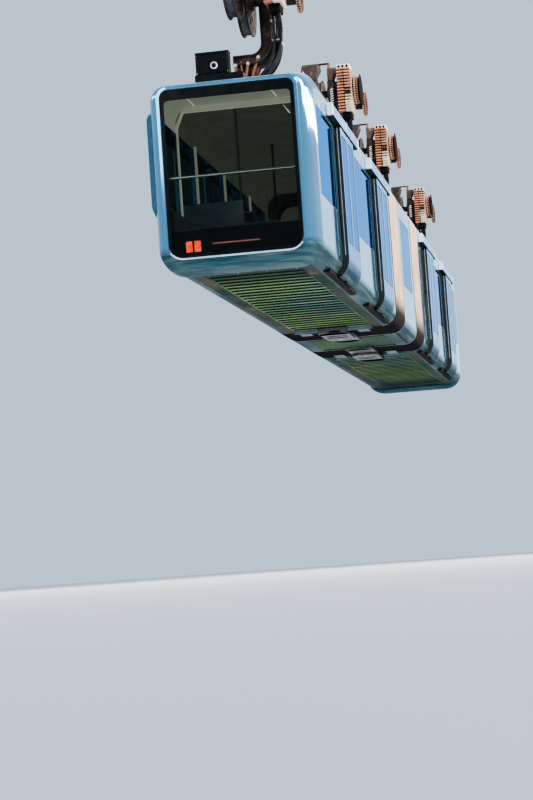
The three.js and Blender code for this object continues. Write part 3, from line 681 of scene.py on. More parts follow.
# %% Face moulding
moulding = bridged("face_moulding", "X", level([
    (0.5985, 1.100, 0.000, 2.5670, 0.250, 0.262),
    (0.590, 1.100, -0.060, 2.5650, 0.300, 0.262),
    (0.560, 1.100, -0.085, 2.5580, 0.325, 0.260),
    (0.390, 1.099, -0.095, 2.5210, 0.350, 0.250),
    (0.190, 1.082, -0.088, 2.4780, 0.350, 0.225),
    (0.075, 1.043, -0.062, 2.4530, 0.320, 0.195),
    (0.022, 0.997, -0.020, 2.4400, 0.280, 0.165),
    (0.004, 0.965, 0.010, 2.4300, 0.255, 0.150),
    (0.000, 0.950, 0.028, 2.4210, 0.240, 0.140),
    (0.000, 0.913, 0.101, 2.3860, 0.195, 0.115),
    (0.004, 0.908, 0.106, 2.3810, 0.190, 0.110),
    (0.0245, 0.908, 0.106, 2.3810, 0.190, 0.110),
    (0.0245, 0.868, 0.146, 2.3410, 0.105, 0.090),
    (0.046, 0.868, 0.146, 2.3410, 0.105, 0.090),
    (0.047, 0.925, 0.120, 2.3450, 0.150, 0.190),
    (0.130, 1.000, 0.120, 2.3750, 0.190, 0.220),
    (0.320, 1.035, 0.120, 2.4050, 0.190, 0.245),
    (0.5985, 1.040, 0.120, 2.4400, 0.190, 0.250),
]), close="ring", steps=8)
coat(moulding, PAINT)
faces_in = lambda p, n: p.x > 0.03 and n.y * p.y + n.z * (p.z - 1.25) < -0.05
coat(moulding, LINING, faces_in)
# the ceiling faces inside the nose take the lounge ceiling finish, painted lit
coat(moulding, LIT_CEILING, lambda p, n: faces_in(p, n) and p.z > 2.0)
for end in both_ends(moulding, "body_paint", "nose", angle=32):
    print(end.name, len(end.data.polygons), end.dimensions)

# %% [markdown]
# ## The body shell
# Walls, roof and the rounded lower corners are one tube. We bridge four frames into a tube
# with a thick wall and then cut out what the builder of the real car left open: the strip
# for the underside, two doorways, and the window holes with a shallow seat for each pane.

# %% Body tube and its openings
HEADERS = (1.774, 4.663), (6.257, 9.146)
PANES = {"a": (0.650, 2.290), "b": (4.200, 6.750)}
BLIND = (8.660, 9.290)
HOLES = (0.70, 2.90), (3.01, 5.21), (5.32, 7.52), (7.63, 9.18)
PANE_LOW, PANE_HIGH, SEAT = 0.9, 2.14, -1.0755
LOUNGE_END = 1.64
DOOR_HALF = 0.625
shell = bridged("body_shell", "X", level([
    (0.6015, 1.100, 0.000, 2.5670, 0.250, 0.262),
    (0.6800, 1.100, 0.000, 2.5980, 0.250, 0.268),
    (0.8400, 1.100, 0.000, 2.6280, 0.250, 0.270),
    (9.5000, 1.100, 0.000, 2.6280, 0.250, 0.270),
    (9.5000, 1.040, 0.120, 2.4800, 0.190, 0.250),
    (LOUNGE_END, 1.040, 0.120, 2.4800, 0.190, 0.250),
    (0.8400, 1.040, 0.120, 2.4800, 0.190, 0.250),
    (0.6015, 1.040, 0.120, 2.4400, 0.190, 0.250),
]), close="ring", steps=8)
coat(shell, PAINT)


def pane_cutters(low, high, rim=0.035):
    """The seat of a pane in the right wall, and the hole behind it."""
    return [block("cutter", (low, -1.2, PANE_LOW), (high, SEAT, PANE_HIGH)),
            block("cutter", (low + rim, -1.2, PANE_LOW + rim), (high - rim, -1.0, PANE_HIGH - rim))]


cutters = [block("cutter", (0.5, -0.8503, -0.1), (9.6, 0.8503, 0.125))]
for low, high in HEADERS:
    middle_u = low + 1.4445
    cutters.append(block("cutter", (middle_u - DOOR_HALF, -1.3, 0.125), (middle_u + DOOR_HALF, -0.80, 2.09),
                         0.02))
for low, high in PANES.values():
    cutters += pane_cutters(low, high)
cutters.append(block("cutter", (BLIND[0], -1.2, PANE_LOW), (BLIND[1], -1.096, PANE_HIGH)))
for low, high in HOLES:
    cutters.append(block("cutter", (low, 1.0, 0.86), (high, 1.2, 2.12)))
cut(shell, *cutters)
inside = lambda p, n: abs(p.y) < 1.0405 and 0.115 < p.z < 2.481 and 0.61 < p.x < 9.49
coat(shell, LINING, inside)
# the lounge ceiling in the shell is painted lit
coat(shell, LIT_CEILING, lambda p, n: inside(p, n) and p.z > 2.1 and p.x < LOUNGE_END)
coat(shell, RUBBER, lambda p, n: abs(n.x) > 0.9 and p.y < -1.04 and 0.61 < p.x < 9.49)
for end in both_ends(shell, "body_paint", "wall_left", "wall_right", "roof", angle=30):
    print(end.name, len(end.data.polygons), end.dimensions)

# %% [markdown]
# ## Roof fittings
# Seen from above, the roof carries two round bearing pads for the bogies, a shallow rib
# along each shoulder and seams between the roof sheets. Each pad is a turned plate with ten
# bolts round it.

# %% Bearing pads, ribs and seams
for number, u in enumerate((1.61, 9.26), 1):
    pad = spun("pad",
               [(0, 2.625), (0.24, 2.625), (0.24, 2.6335), (0.205, 2.636), (0.20, 2.656), (0.196, 2.66),
                (0.12, 2.66), (0.115, 2.655), (0, 2.655)], (u, 0, 0), "Z")
    bolt = rod("bolt", (u + 0.222, 0, 2.63), (u + 0.222, 0, 2.646), 0.012, 6, 0.002)
    pad = weld(f"bearing_pad_{number}", pad, *ring_of(bolt, (u, 0, 0), "Z", 10))
    both_ends(coat(pad, STRIP), "roof_paint")
for number, (low, high) in enumerate(((0.95, 3.3), (3.36, 5.8), (5.86, 8.3)), 1):
    sheet = block(f"roof_sheet_{number}", (low, -0.70, 2.620), (high, 0.70, 2.6345), 0.006, 3)
    pressed(sheet, lambda p: p.z > 2.634, (0.05, 0), (0.012, -0.004))
    both_ends(coat(sheet, PAINT), "roof_paint")
for side, word in ((-1, "right"), (1, "left")):
    rib = block(f"{word}_gutter", (0.86, side * 0.93 - 0.012, 2.585), (9.48, side * 0.93 + 0.012, 2.634),
                0.008)
    both_ends(coat(rib, PAINT), "roof_paint")
print("roof fittings done")

# %% [markdown]
# ## The end window
# A single pane fills the moulding. Its border is printed black from behind, so it hides the
# glue and the lamp panel's edges. We make the print as a flat ring of frames and set a
# clear pane into it, so that light really passes through the middle. A thin lip runs round
# the seal; below the window it is painted pale as a highlight.

# %% Face window
# the pale lip colour is a painted highlight
LIP_HIGHLIGHT = plain("painted_lip_highlight", (0.66, 0.76, 0.82), (0.36, 0.52, 0.62), 0.25, 3.0)
print_ring = bridged("face_window", "X", level([
    (0.0240, 0.9075, 0.1065, 2.3805, 0.189, 0.108),
    (0.0020, 0.9075, 0.1065, 2.3805, 0.189, 0.108),
    (0.0000, 0.9050, 0.1090, 2.3780, 0.186, 0.106),
    (0.0000, 0.8600, 0.1560, 2.2400, 0.060, 0.060),
    (0.0240, 0.8600, 0.1560, 2.2400, 0.060, 0.060),
]), close="ring", steps=8)
coat(print_ring, BLACK)
clear_pane = bridged("clear_pane", "X", [(u, -0.8598, 0.8598, 0.1562, 2.2398, 0.060, 0.060)
                                         for u in (0.0010, 0.0050)], steps=8)
coat(clear_pane, FACE_GLASS)
both_ends(weld("face_window", print_ring, clear_pane), "glass", "windscreen")
seal = bridged("window_seal", "X", level([
    (-0.0005, 0.9105, 0.1035, 2.3835, 0.193, 0.112),
    (-0.0005, 0.9060, 0.1080, 2.3790, 0.188, 0.108),
    (0.0100, 0.9060, 0.1080, 2.3790, 0.188, 0.108),
    (0.0100, 0.9105, 0.1035, 2.3835, 0.193, 0.112),
]), close="ring", steps=8)
both_ends(coat(seal, RUBBER), "black_plastic")
lip = bridged("window_lip", "X", level([
    (0.0006, 0.9380, 0.0760, 2.4110, 0.220, 0.140),
    (-0.0060, 0.9345, 0.0795, 2.4075, 0.2165, 0.1365),
    (-0.0070, 0.9200, 0.0940, 2.3930, 0.202, 0.122),
    (0.0006, 0.9140, 0.1000, 2.3870, 0.196, 0.116),
]), close="ring", steps=8)
coat(lip, PAINT)
# the lower part of the lip is painted pale as a highlight
coat(lip, LIP_HIGHLIGHT, lambda p, n: p.z < 0.17)
both_ends(lip, "body_paint", angle=50)

# %% [markdown]
# ## Lamps behind the glass
# A black panel behind the lower part of the window carries the lamps. The rear end shows
# two plain red tiles and a thin red bar, the front end two head lamps and a white bar. A
# lamp is a shallow tray with a glowing lens set into it, so each starts as a rounded block
# whose front face is inset and pushed in.


# %% Lamp panels
def glowing(name, colour, strength, dots=90.0):
    f = Finish(name)
    cell = f.add("TexVoronoi", inputs={"Vector": f.place, "Scale": dots}, output="Distance")
    glow = f.mixed(f.between(cell, 0.15, 0.75), colour, [c * 0.45 for c in colour])
    return f.out(f.shader(glow, 0.25, Emission_Color=glow, Emission_Strength=strength,
                          Normal=f.bump(cell, 0.0006)))


RED_LAMP = glowing("red_lamp_lens", (1.0, 0.075, 0.025), 2.2)
BAR_LAMP = glowing("pale_red_lens", (0.80, 0.26, 0.22), 0.8)
WHITE_LAMP = glowing("white_lamp_lens", (0.95, 0.97, 1.0), 1.2)
TRAY_FRONT, TRAY_BACK = 0.0265, 0.0335


def lamp_tile(name, spot, material, rim=0.008):
    """A lamp in the panel at spot = (low y, high y, low z, high z)."""
    y0, y1, z0, z1 = spot
    tile = block(name, (TRAY_FRONT, y0, z0), (TRAY_BACK, y1, z1), 0.003)
    pressed(tile, lambda p: p.x < TRAY_FRONT + 0.0005, (rim, 0.0), (0.002, -0.003))
    coat(tile, BLACK_SATIN)
    return coat(tile, material, lambda p, n: p.x < TRAY_FRONT + 0.004 and n.x < -0.9 and
                y0 + rim < p.y < y1 - rim and z0 + rim < p.z < z1 - rim)


def lamp_panel(end, node, slot, tiles, material, bar_material):
    back = bridged("panel", "X", [(u, -0.867, 0.867, 0.147, 0.470, 0.085, 0.002) for u in (0.033, 0.045)])
    for low, high in ((-0.84, -0.34), (-0.31, 0.31), (0.34, 0.84)):
        back = weld("panel", back, block("rib", (0.0315, low, 0.435), (0.0335, high, 0.441), 0.0005))
    coat(back, BLACK_SATIN)
    pieces = [lamp_tile("tile", spot, material) for spot in tiles]
    pieces.append(lamp_tile("bar", (-0.32, 0.32, 0.256, 0.280), bar_material, 0.0025))
    return placed(weld("lamp_tray", back, *pieces), f"{end}_lamp_tray", end, slot, node)


tail = lamp_panel("rear", "rear_lamp_panel", "lamp_red",
                  [(0.47, 0.575, 0.165, 0.330), (0.585, 0.69, 0.165, 0.330)], RED_LAMP, BAR_LAMP)
head = lamp_panel("front", "front_headlamp_panel", "lamp_white",
                  [(0.52, 0.76, 0.200, 0.320), (-0.76, -0.52, 0.200, 0.320)], WHITE_LAMP, WHITE_LAMP)
print(tail.name, len(tail.data.polygons), head.name, len(head.data.polygons))

# %% [markdown]
# ## The underside
# Behind the chin lies a smooth plate, then twenty-five pressed ribs cross the car, and two
# flat polished strips close the sides with a dark seam. One rib is modelled and the Array
# modifier repeats it. The floor covering lies on top and is seen through the windows.

# %% Floor and underside
RIB_LOW, RIB_HIGH, RIB_HALF = -0.001, 0.0125, 0.684
floor_slab = block("floor", (0.6015, -0.849, 0.012), (9.4985, 0.849, 0.1195), 0.003)
# the slab's sides and underside are painted black as shade
coat(floor_slab, SHADE_BLACK)
coat(floor_slab, CARPET, lambda p, n: n.z > 0.9)
plate = block("plate", (0.6015, -RIB_HALF, -0.002), (1.30, RIB_HALF, RIB_HIGH), 0.003)


def pressed_rib(start, end):
    return bridged("rib", "Y",
                   [(y, start, end, RIB_LOW, RIB_HIGH, 0.0125, 0.0005) for y in (-RIB_HALF, RIB_HALF)],
                   steps=5)


rib = pressed_rib(1.306, 1.618)
with editing(rib):
    pick(lambda p: p.z < -0.0005 and abs(p.y) < 0.1)
    bpy.ops.mesh.inset(thickness=0.055)
    bpy.ops.transform.translate(value=(0, 0, 0.0105))
repeated(rib, 25, (0.3278, 0, 0))
coats(UNDERSIDE, plate, rib)
strips = [coat(block("strip", (0.6015, low, RIB_LOW), (9.4985, high, RIB_HIGH), 0.002), STRIP)
          for low, high in ((-0.849, -0.690), (0.690, 0.849))]
for u in (0.72, 1.18):
    for y in (-0.62, -0.2, 0.2, 0.62):
        strips.append(coat(rod("screw", (u, y, -0.0045), (u, y, 0.0), 0.012, 12, 0.001), STEEL_TUBE))
floor = weld("underside", floor_slab, plate, rib, *strips)
sill = rod("sill", (9.31, -0.69, 0.0), (9.31, 0.69, 0.0), 0.055, 32, 0.012)
coat(sill, plain("sill_bar", (0.050, 0.085, 0.11), (0.095, 0.13, 0.15), 0.34, 4.0, wear=(0.14, 0.12, 0.11),
                 Metallic=0.7, tint=(0.2, 0.3, 0.36)))
both_ends(floor, "floor_metal", "floor", angle=50)
both_ends(sill, "floor_metal")

# %% [markdown]
# ## The gangway link
# A flat link joins each end section to the middle one and turns on a pin. The end section
# carries the lower plate, slotted to save weight, and the middle section the upper plate
# with the pin. Each is a bridged frame with rounded corners in plan.


# %% Gangway links
LINK = plain("link_plate", (0.16, 0.15, 0.15), (0.055, 0.052, 0.055), 0.45, 7.0, wear=(0.20, 0.17, 0.15),
             Metallic=0.7)
PIN = 10.225


def link_slots(*starts):
    return [block("slot", (u, -0.18, -0.2), (u + 0.14, 0.18, 0.1), 0.01) for u in starts]


lower = bridged("gangway_link", "Z", [(z, 9.08, 10.474, -0.25, 0.25, 0.10, 0.20) for z in (-0.095, -0.055)])
cut(lower, *link_slots(9.62, 9.88), rod("hole", (PIN, 0, -0.2), (PIN, 0, 0.1), 0.0508, 32))
neck = block("neck", (9.08, -0.25, -0.095), (9.44, 0.25, -0.001), 0.006)
collar = spun("collar", [(0.0512, -0.0985), (0.10, -0.0985), (0.11, -0.095), (0.11, -0.052), (0.10, -0.0505),
                         (0.0512, -0.0505), (0.0512, -0.0985)], (PIN, 0, 0), "Z", 32)
soften(lower, 0.004)
wear_plates = [block("wear_plate", (9.40, y - 0.10, -0.016), (10.02, y + 0.10, -0.004), 0.003)
               for y in (-0.47, 0.55)]
both_ends(coat(weld("gangway_link", lower, neck, collar, *wear_plates), LINK), "floor_metal")

# %% [markdown]
# ## Door headers
# Above each door a long box hides the door's drive. It stands off the body by a gap and has
# a white cap on both ends; the spine in the gap and the box's underside are painted black as
# shade. The box is a bridged frame with soft edges, cover seams and a row of flush screws.

# %% Headers
for number, (low, high) in enumerate(HEADERS, 1):
    case = bridged("case", "X",
                   [(u, -1.190, -1.106, 2.2015, 2.367, 0.004, 0.012) for u in (low + 0.062, high - 0.062)])
    coat(case, HEADER_PAINT)
    # the box's underside and the spine in the gap are painted black as shade
    coat(case, SHADE_BLACK, lambda p, n: n.z < -0.8)
    parts = [case,
             coat(block("spine", (low + 0.03, -1.1065, 2.215), (high - 0.02, -1.0, 2.345), 0.004), SHADE_BLACK)]
    for start, way in ((low, 1), (high, -1)):
        cap = bridged("cap", "X", [
            (start, -1.189, -1.107, 2.203, 2.366, 0.008, 0.012),
            (start + way * 0.004, -1.193, -1.103, 2.1985, 2.3695, 0.010, 0.014),
            (start + way * 0.058, -1.193, -1.103, 2.1985, 2.3695, 0.010, 0.014)][::way])
        parts.append(coat(cap, WHITE_CAP))
    for u in (low + 0.9, low + 1.9):
        parts.append(coat(block("seam", (u, -1.1912, 2.206), (u + 0.003, -1.188, 2.363)), RUBBER))
    for k in range(12):
        u = low + 0.16 + k * 0.236
        parts.append(coat(rod("screw", (u, -1.1918, 2.352), (u, -1.189, 2.352), 0.006, 10), STEEL_TUBE))
    both_ends(weld(f"door_header_{number}", *parts), "body_paint")
print("headers done")

# %% [markdown]
# ## Lower door guides
# The foot of each door runs in a black channel below the sill. Its face is a row of small
# grey slots. We model one short length with its slot and let the Array modifier repeat it.

# %% Lower guides
GUIDE_BLACK = plain("guide_black", (0.004, 0.004, 0.005), (0.012, 0.010, 0.009), 0.8, 12.0, mirror=0.10)
SLOTS = 24
for number, (low, high) in enumerate(HEADERS, 1):
    pitch = (high - low) / SLOTS
    cell = block("cell", (low, -1.0, -0.0115), (low + pitch, -0.9, 0.085))
    for test in (lambda p: p.y < -0.999, lambda p: p.z < -0.011):
        pressed(cell, test, (0.034, 0), (0.003, -0.005))
    coat(cell, GUIDE_BLACK)
    coat(cell, LINK, lambda p, n: (n.y < -0.9 and p.y > -0.998) or (n.z < -0.9 and p.z > -0.010))
    repeated(cell, SLOTS, (pitch, 0, 0), use_merge_vertices=True, merge_threshold=0.0005)
    soften(cell, 0.0015, 1, 60)
    cell.name = f"door_guide_{number}"
    both_ends(cell, "body_paint")
print("guides done")

# %% [markdown]
# ## Side panes
# Each pane is a slab of tinted glass with a printed edge and a rubber seal that stands a
# little proud. It is made from frames just as the face window is, only along Y.


# %% Side panes
def side_pane(name, low, high, bottom=PANE_LOW, top=PANE_HIGH, face=-1.1):
    """Glass and seal in the right wall at y = face."""
    y = lambda depth: face + depth
    pane = bridged("pane", "Y", [(y(d), low + 0.004, high - 0.004, bottom + 0.004, top - 0.004, 0.02, 0.02)
                                 for d in (0.020, 0.002)])
    coat(pane, SIDE_GLASS)
    rings = (0.0235, 0.001), (-0.0005, 0.001), (-0.0005, 0.014), (0.004, 0.020), (0.0235, 0.020)
    seal = bridged("seal", "Y",
                   [(y(d), low + i, high - i, bottom + i, top - i, 0.022, 0.022) for d, i in rings],
                   close="ring")
    return weld(name, pane, coat(seal, RUBBER))


for letter, (low, high) in PANES.items():
    both_ends(side_pane(f"side_pane_{letter}", low, high), "glass", "glass_right_" + letter)
blind = block("blind_panel", (BLIND[0] + 0.002, -1.1003, 0.902), (BLIND[1] - 0.002, -1.0962, 2.138), 0.001)
pressed(blind, lambda p: p.y < -1.1, (0.012, 0), (0.002, -0.0015))
coat(blind, BLACK)
coat(blind, SIDE_GLASS, lambda p, n: n.y < -0.9 and p.y > -1.0995)
both_ends(blind, "glass")
print("panes done")

# %% [markdown]
# ## The raised glass band
# On the side without doors one long band of dark glass stands proud of the body with
# slanted edges. It is a dish: frames step out from the wall, across the slope to the face,
# and back inside, so the glass has a wall of 12 mm. Dark joints divide it into panels.


# %% Glass band
def glass_band(name, low, high, joints):
    steps = [(1.1003, 0.0, 0.700, 2.185), (1.108, 0.006, 0.706, 2.180), (1.150, 0.040, 0.770, 2.168),
             (1.188, 0.080, 0.860, 2.120), (1.195, 0.094, 0.885, 2.095), (1.1835, 0.104, 0.895, 2.085),
             (1.140, 0.062, 0.790, 2.145), (1.1003, 0.014, 0.714, 2.171)]
    dish = bridged(name, "Y", [(y, low + i, high - i, b, t, 0.03, 0.03) for y, i, b, t in steps[:5]])
    inner = bridged("hollow", "Y",
                    [(y, low + i, high - i, b, t, 0.02, 0.02) for y, i, b, t in steps[5:]][::-1])
    with editing(inner):
        pick(lambda p: p.y < 1.101)
        bpy.ops.transform.translate(value=(0, -0.01, 0))
    parts = [coat(cut(dish, inner), BAND_GLASS)]
    for u in joints:
        parts.append(coat(bridged("joint", "Y", [(1.1940, u - 0.008, u + 0.008, 0.89, 2.09, 0.002, 0.002),
                                                 (1.1958, u - 0.006, u + 0.006, 0.892, 2.088, 0.002, 0.002)]),
                          RUBBER))
    foot = bridged("foot", "Y", [(y, low + i, high - i, 0.700 + i, 2.185 - i, 0.03, 0.03) for y, i in
                                 ((1.1003, -0.006), (1.1065, -0.006), (1.1065, 0.004), (1.1003, 0.004))],
                   close="ring")
    return weld(name, *parts, coat(foot, RUBBER))


both_ends(glass_band("glass_band", 0.33, 9.26, (2.955, 5.265, 7.575)), "glass", "glass_left", angle=28)
print("band done")

# %% [markdown]
# ## The doors
# A leaf is a thick panel whose foot curls under the body. We draw its upright edge as a
# line, spin the last point round the body's lower corner, extrude the line along the car
# and give it 78 mm with Solidify. The glass is cut into it and brown rubber closes its two
# upright edges. It hangs from the header by a short tab.

# %% One leaf
LEAF_WIDTH, LEAF_FACE, LEAF_THICK = 0.7175, -1.190, 0.078


def door_leaf(width):
    """A leaf from x = 0 to width, in the end section's heights."""
    leaf = empty_piece("leaf")
    with editing(leaf):
        mesh = bmesh.from_edit_mesh(leaf.data)
        points = [mesh.verts.new((0.0, LEAF_FACE, z)) for z in (2.150, 2.070, 1.300, 0.430, 0.270)]
        for first, second in zip(points, points[1:]):
            mesh.edges.new((first, second))
        bmesh.update_edit_mesh(leaf.data)
        pick(lambda p: p.z < 0.271, "VERT")
        bpy.ops.mesh.spin(steps=10, angle=math.radians(-52), center=(0, -0.85, 0.27), axis=(1, 0, 0))
        bpy.ops.mesh.select_all(action="SELECT")
        bpy.ops.mesh.remove_doubles(threshold=0.0001)
        bpy.ops.mesh.select_all(action="SELECT")
        bpy.ops.mesh.extrude_edges_move(TRANSFORM_OT_translate={"value": (width, 0, 0)})
        close_up()
    if leaf.data.polygons[0].normal.y > 0:
        with editing(leaf):
            bpy.ops.mesh.select_all(action="SELECT")
            bpy.ops.mesh.flip_normals()
    refine(leaf, "SOLIDIFY", thickness=LEAF_THICK, offset=-1)
    coat(leaf, DOOR_PAINT)
    coat(leaf, LINING, lambda p, n: n.y > 0.8)
    coat(leaf, BROWN_RUBBER, lambda p, n: abs(n.x) > 0.9)
    cut(leaf, block("cutter", (0.07, -1.3, 0.50), (width - 0.07, -1.0, 2.06), 0.03, 4))
    pane = side_pane("pane", 0.071, width - 0.071, 0.501, 2.059, -1.188)
    inner = block("inner_pane", (0.075, -1.140, 0.505), (width - 0.075, -1.134, 2.055), 0.001)
    soften(leaf, 0.003, 2, 50)
    return weld("leaf", leaf, pane, coat(inner, SIDE_GLASS))


leaf = door_leaf(LEAF_WIDTH)
# a pale strip on the leaf's upright edge is a painted highlight line
edge_highlight = coat(block("edge_highlight_strip", (-0.0015, -1.150, 0.30), (0.0005, -1.138, 2.149)), PALE_TRIM)
tab = block("tab", (0.20, -1.17, 2.149), (0.5175, -1.13, 2.1978), 0.004)
shoe = block("foot_shoe", (0.10, -1.058, 0.012), (0.6175, -1.0105, 0.06), 0.004)
leaf = weld("leaf", leaf, edge_highlight, *coats(BLACK_SATIN, tab, shoe))
print("leaf", len(leaf.data.polygons), "faces, box", [round(v, 3) for v in leaf.dimensions])
for number, (low, high) in enumerate(HEADERS, 1):
    start = low + 0.7245
    near = again(leaf, f"near_{number}", move=(start, 0, 0))
    far = again(leaf, f"far_{number}", mirror="X")
    far.location.x = start + 1.440
    for piece, rear_side, front_side in ((near, "aft", "fore"), (far, "fore", "aft")):
        piece.location += SHIFT
        applied(piece)
        door, twin = f"door_{number}_{rear_side}", f"door_{5 - number}_{front_side}"
        front = again(piece, f"{twin}_leaf", mirror="X")
        finish(called(piece, f"{door}_leaf"), door, "door_paint", door)
        finish(front, twin, "door_paint", twin)
bpy.data.objects.remove(leaf)

# %% [markdown]
# ## The lounge behind the end window
# Through the window the eye sees a pale ceiling that ends at a light frame across the car,
# two dotted lines of ceiling lamps, the pillars of the left wall, a grab rail across the
# glass and a bench along both walls. The frame is a ring of slanted outlines; each lamp is
# a tiny domed disc, modelled once and repeated.

# %% Portal, pillars and ceiling lamps
CEILING_LOW, FLOOR_HIGH = 2.4785, 0.1205
portal = bridged("portal", "X", level([
    (1.636, 1.0385, 0.122, 2.478, (0.02, 0.02), (0.12, 0.25)),
    (1.636, 1.010, 0.14, 2.400, (0.02, 0.02), (0.095, 0.21)),
    (1.662, 1.010, 0.14, 2.400, (0.02, 0.02), (0.095, 0.21)),
    (1.662, 1.0385, 0.122, 2.478, (0.02, 0.02), (0.12, 0.25)),
]), close="ring", steps=1)
# the portal and pillars wear the painted-lit ceiling finish, and the portal's inner edges glow brighter as a
# painted highlight
coat(portal, LIT_CEILING)
coat(portal, LIT_PORTAL_EDGE, lambda p, n: abs(n.x) < 0.5)
cut(portal, block("cutter", (1.5, -0.95, 0.0), (1.8, 0.95, 0.3)))
pillars = [bridged("post", "Z",
                   [(z, u - 0.045, u + 0.045, 1.012, 1.0385, 0.008, 0.008) for z in (0.80, 2.16)])
           for u in (0.64, 2.955, 5.265, 7.575)]
portal = weld("lounge_portal", portal, *coats(LIT_CEILING, *pillars))
LAMP_DOT = glowing("ceiling_lamp", (1.0, 0.97, 0.86), 1.2, 20.0)
dot = spun("dot", [(0.0, 2.4705), (0.008, 2.471), (0.011, 2.474), (0.011, CEILING_LOW)], (0, 0, 0), "Z", 10)
repeated(coat(dot, LAMP_DOT), 6, (0.105, 0, 0))
rows = [again(dot, "row", move=(u, y, 0)) for u, y in
        ((0.97, -0.45), (2.15, -0.45), (3.6, -0.45), (4.9, -0.45), (6.2, -0.45), (7.5, -0.45), (1.0, 0.74))]
bpy.data.objects.remove(dot)
both_ends(weld("ceiling_lamps", *rows), "lining")
both_ends(portal, "lining")

# %% [markdown]
# ## Grab rail and poles
# A bent steel tube crosses the window and three upright poles stand beside the seats. A
# tube is a cylinder with flared feet, so we start with a rod and spin a small foot for
# each end.

# %% Rail and poles
rail = rod("rail", (0.105, -0.982, 1.2), (0.105, 0.982, 1.2), 0.018, 24, 0.002)
feet = [spun("foot", [(0, y), (0.034, y), (0.034, y + s * 0.004), (0.020, y + s * 0.018), (0, y + s * 0.018)],
             (0.105, 0, 1.2), "Y", 24) for y, s in ((-0.9925, 1), (0.9925, -1))]
placed(coat(weld("grab_rail", rail, *feet), STEEL_TUBE), "rear_grab_rail", "rear", "rail_steel",
       "rear_hand_rail")
pole = rod("pole", (0, 0.19, 0.125), (0, 0.19, 2.476), 0.017, 20, 0.002)
ends = [spun("foot", [(0, z), (0.036, z), (0.036, z + s * 0.004), (0.018, z + s * 0.02), (0, z + s * 0.02)],
             (0, 0.19, 0), "Z", 20) for z, s in ((FLOOR_HIGH, 1), (CEILING_LOW, -1))]
# the poles wear a near black finish, painted as the shade of the interior
pole = coat(weld("pole", pole, *ends), SHADED_POLE)
copies = [again(pole, "pole", move=(u, 0, 0)) for u in (1.76, 4.965, 7.485)]
bpy.data.objects.remove(pole)
both_ends(weld("poles", *copies), "rail_steel")
print("rails and poles done")

# %% [markdown]
# ## Seat covers
# The seats wear a woven dark blue-grey cloth with a fine fleck, worn paler on the crown.
# The weave is two crossed wave patterns of a few millimetres that also make the bump.

# %% Cloth
THREAD_SCALE = 420.0 / 6.0


def seat_cloth(name, colour, fleck):
    f = Finish(name)
    warp, weft = [f.add("TexWave", {"bands_direction": way},
                        {"Vector": f.place, "Scale": THREAD_SCALE, "Distortion": 0.4}) for way in "XZ"]
    weave = warp * weft
    spot = f.between(f.noise(160.0, 2.0), 0.60, 0.66)
    worn = f.between(f.noise(3.5, 4.0), 0.45, 0.75)
    shade = f.mixed(spot * 0.7, f.mixed(worn * 0.5, colour, [c * 1.7 for c in colour]), fleck)
    return f.out(f.shader(shade, 0.88 - worn * 0.1, Sheen_Weight=0.25,
                          Normal=f.bump(weave + spot * 0.4, 0.0008)))


CLOTH = seat_cloth("seat_cloth", (0.030, 0.042, 0.055), (0.16, 0.22, 0.28))
PIPING = plain("orange_piping", (0.55, 0.20, 0.07), (0.42, 0.14, 0.05), 0.6, 30.0)
SEAT_SHELL = plain("seat_shell", (0.10, 0.11, 0.12), (0.07, 0.08, 0.09), 0.4, 8.0)

# %% [markdown]
# ## Padded cushions
# A cushion is a fabric bag blown up by its foam. We start a little too small, give it an
# even net with voxels, let Cloth swell it under pressure with gravity off, and stop any
# point that moves too far. The sewn channels are pressed in afterwards, because the voxel
# net would rub them out. One cushion is made for each shape and then copied.

# %% Swelling one cushion
VOXEL, PRESSURE, CLOTH_FRAMES = 0.02, 4.0, 20
CHANNEL_WIDTH, CHANNEL_DEPTH = 0.009, 0.011


def swollen(pad):
    """Blows a pad up with the Cloth modifier and applies the result."""
    alone(pad)
    bpy.ops.object.modifier_add(type="CLOTH")
    cloth = pad.modifiers[-1]
    cloth.settings.use_pressure = True
    cloth.settings.uniform_pressure_force = PRESSURE
    cloth.settings.effector_weights.gravity = 0.0
    cloth.settings.quality = 4
    cloth.point_cache.frame_start, cloth.point_cache.frame_end = 1, CLOTH_FRAMES
    for count in range(1, CLOTH_FRAMES + 1):
        bpy.context.scene.frame_set(count)
    bpy.ops.object.modifier_apply(modifier=cloth.name)
    bpy.context.scene.frame_set(1)


def cushion(name, low, high, cap, channels, along=0, face=2, side=1):
    """A padded box; channels are grooves at these shares along an axis, on the face towards side."""
    low, high = Vector(low), Vector(high)
    margin = Vector((cap,) * 3) * 0.7
    start = block(name, low + margin, high - margin, 0.028, 3)
    pad = again(start, name)
    bpy.data.objects.remove(start)
    refine(called(pad, name), "REMESH", mode="VOXEL", voxel_size=VOXEL)
    rest = [v.co.copy() for v in pad.data.vertices]
    swollen(pad)
    for v, was in zip(pad.data.vertices, rest):
        way = v.co - was
        if way.length > cap:
            v.co = was + way.normalized() * cap
    centre, size = (low + high) / 2, high - low
    for v in pad.data.vertices:
        share = (v.co[along] - low[along]) / size[along]
        depth = sum(math.exp(-((share - c) * size[along] / CHANNEL_WIDTH) ** 2) for c in channels)
        if (v.co[face] - centre[face]) * side > size[face] * 0.1:
            v.co[face] -= side * CHANNEL_DEPTH * depth
        for axis in range(3):
            v.co[axis] = min(max(v.co[axis], low[axis]), high[axis])
    refine(pad, "SUBSURF", levels=1, render_levels=1)
    refine(pad, "DECIMATE", ratio=0.35)
    return coat(pad, CLOTH)


def padded(piece, name, end):
    """Fits a finished cushion at one end."""
    placed(piece, name, end, "seat_cover", angle=60)


